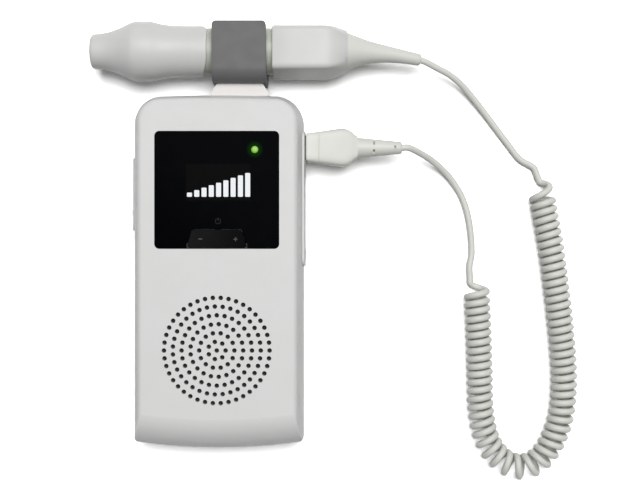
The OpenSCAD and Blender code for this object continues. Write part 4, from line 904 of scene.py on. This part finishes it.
# The nose's outline, in pairs of a radius and a distance from the tip.
bulge_points = [
    (7.3, 2.2), (7.65, 5.6), (8.27, 8.2), (9.57, 11.8), (11.05, 14.9), (12.2, 17.8), (12.4, 20.4),
    (12.4, 22.6), (12.2, 25.4), (11.3, 28.9), (10.75, 33), (10.55, 38), (10.5, 42), (10.5, 46), (10.5, 48)
]
tip_round = [(5.75, 0), (6.5, 0.2), (7, 0.7), (7.22, 1.4)]
rear_round = [(10.4, 48.35), (10.15, 48.5), (9.8, 48.5)]
nose_bore = [
    (9.8, 44.9), (8.8, 44.9), (8.8, 33), (10.6, 25), (10.6, 18), (5.2, 11.3), (5.2, 1.3), (5.7, 1.3),
    (5.7, 0)
]
nose_sides, bulge_steps = 96, 3
sleeve_end, sleeve_swing, sleeve_r = 48.5, 40, 10.5
tongue_l, tongue_top, tongue_low = 3.2, 6, -3
grip_x0, grip_x1 = 22.1, 52.9
grip_corners = [
    (-8.35, -11.2, 4), (8.35, -11.2, 4), (11.6, -2, 7), (8.5, 11.6, 2), (-8.5, 11.6, 2), (-11.6, -2, 7)
]
grip_step = 0.9
grip_full_x = 33
grip_round_from, grip_end_r, grip_fall, rounding_steps = 43.5, 8.45, 1.8, 12
mouth_r, mouth_l, root_bore_r, root_bore_l = 8.15, 1.2, 5.1, 6
hollow_share, hollow_taper_l = 0.82, 4
spigot_bore_r, spigot_bore_l = 8.8, 8
# The grip's front edge is rounded: its section has these scales at these distances from the front.
grip_edge = {0: 0.965, 0.15: 0.988, 0.5: 1}


def rounded_outline(corners, step):
    """Points along an outline whose corners are given with their radii, no further apart than a step."""
    arcs = []
    for k, (x, y, r) in enumerate(corners):
        corner = Vector((x, y))
        before = (Vector(corners[k - 1][:2]) - corner).normalized()
        after = (Vector(corners[(k + 1) % len(corners)][:2]) - corner).normalized()
        half = before.angle(after) / 2
        centre = corner + (before + after).normalized() * r / math.sin(half)
        spoke_out = corner + before * r / math.tan(half) - centre
        sweep = math.pi - 2 * half
        count = math.ceil(sweep * r / step)
        arcs += [centre + Matrix.Rotation(sweep * j / count, 2) @ spoke_out for j in range(count + 1)]
    points = []
    for p, q in zip(arcs, arcs[1:] + arcs[:1]):
        count = math.ceil((q - p).length / step)
        points += [p.lerp(q, j / count) for j in range(count)]
    return points


def ringed(rings):
    """A closed skin that runs over rings of points and back to the first."""
    shape = bmesh.new()
    loops = []
    for ring in rings:
        points = [shape.verts.new(p) for p in ring]
        loops.append([shape.edges.new(pair) for pair in zip(points, points[1:] + points[:1])])
    for before, after in zip(loops, loops[1:] + loops[:1]):
        bmesh.ops.bridge_loops(shape, edges=before + after)
    bmesh.ops.recalc_face_normals(shape, faces=shape.faces[:])
    return shape


def tongue_cut(y):
    """How far the sleeve's rear edge draws back at a place across it, more on its lower side."""
    if y > 0:
        share = (y - tongue_top) / (sleeve_r - tongue_top)
    else:
        share = (tongue_low - y) / (sleeve_r + tongue_low)
    return tongue_l * (1 - math.sqrt(1 - min(max(share, 0), 1) ** 2))


probe_material = moulded("probe_plastic", (0.63, 0.63, 0.62), (0.61, 0.61, 0.595), roughness=0.4,
    grain=0.0006, depth=0.00001, gloss=0.25)
bulge = [tuple(p) for p in smooth_line(bulge_points, bulge_steps)]
nose_profile = tip_round + bulge + rear_round + nose_bore
nose_turn = Matrix.Rotation(math.pi / 2, 4, "Y")
nose = spun(nose_profile, Matrix.Translation((tip_x, probe_y, probe_z)) @ nose_turn, nose_sides)
for vert in nose.verts:
    run = (vert.co.x - tip_x - sleeve_swing) / (sleeve_end - sleeve_swing)
    vert.co.x -= max(run, 0) * tongue_cut(vert.co.y - probe_y)
piece("nose_moulding", nose, "probe_shell", ["probe_nose"], probe_material, body="probe")

section = rounded_outline(grip_corners, grip_step)


def ring_across(x, points):
    return [Vector((x, probe_y, probe_z)) + Vector((0, *p)) for p in points]


def grip_ring(x, scale=1):
    """The grip's section, which turns into a circle towards the cord's end."""
    t = max((x - grip_round_from) / (grip_x1 - grip_round_from), 0) ** grip_fall
    return ring_across(x, [scale * p.lerp(grip_end_r * p.normalized(), t) for p in section])


def round_ring(x, r):
    return ring_across(x, [r * p.normalized() for p in section])


grip_rings = [grip_ring(grip_x0 + x, scale) for x, scale in grip_edge.items()] + [grip_ring(grip_full_x)]
grip_rings += [grip_ring(grip_round_from + (grip_x1 - grip_round_from) * k / rounding_steps)
    for k in range(rounding_steps + 1)]
grip_rings += [
    round_ring(grip_x1, mouth_r), round_ring(grip_x1 - mouth_l, mouth_r),
    round_ring(grip_x1 - mouth_l, root_bore_r), round_ring(grip_x1 - root_bore_l, root_bore_r),
    grip_ring(grip_x1 - root_bore_l - hollow_taper_l, hollow_share),
    grip_ring(grip_x0 + spigot_bore_l, hollow_share),
    round_ring(grip_x0 + spigot_bore_l, spigot_bore_r), round_ring(grip_x0, spigot_bore_r)
]
piece("grip_moulding", ringed(grip_rings), "probe_shell", ["probe_grip"], probe_material, body="probe",
    crease=50)
# Painted shade: the waist's darker grey-green stands for the shadow that the fork casts on it.
waist_shade_material = moulded("waist_painted_shade", (0.42, 0.44, 0.38), (0.38, 0.40, 0.34), roughness=0.45,
    grain=0.0006, depth=0.00002)
dress(waist_shade_material, "probe_waist")

# Transducer: two half discs of ceramic with gilt faces behind a soft acoustic window, on a block of damping
# resin. Thin leads join them to a small board in the waist, and that board to the cord.
acoustic_material = moulded("acoustic_window", (0.26, 0.31, 0.38), (0.24, 0.285, 0.35), roughness=0.3,
    grain=0.002, depth=0.00001)
backing_material = moulded("damping_resin", (0.16, 0.17, 0.13), (0.10, 0.11, 0.09), roughness=0.7,
    grain=0.0008, depth=0.00008)
dress(acoustic_material, "transducer_window")
dress(backing_material, "transducer_backing")
dress(gilt_material, "transducer_crystals")
dress(insulated("probe_wire", lead_red, lead_black, 1, probe_y), "probe_leads")
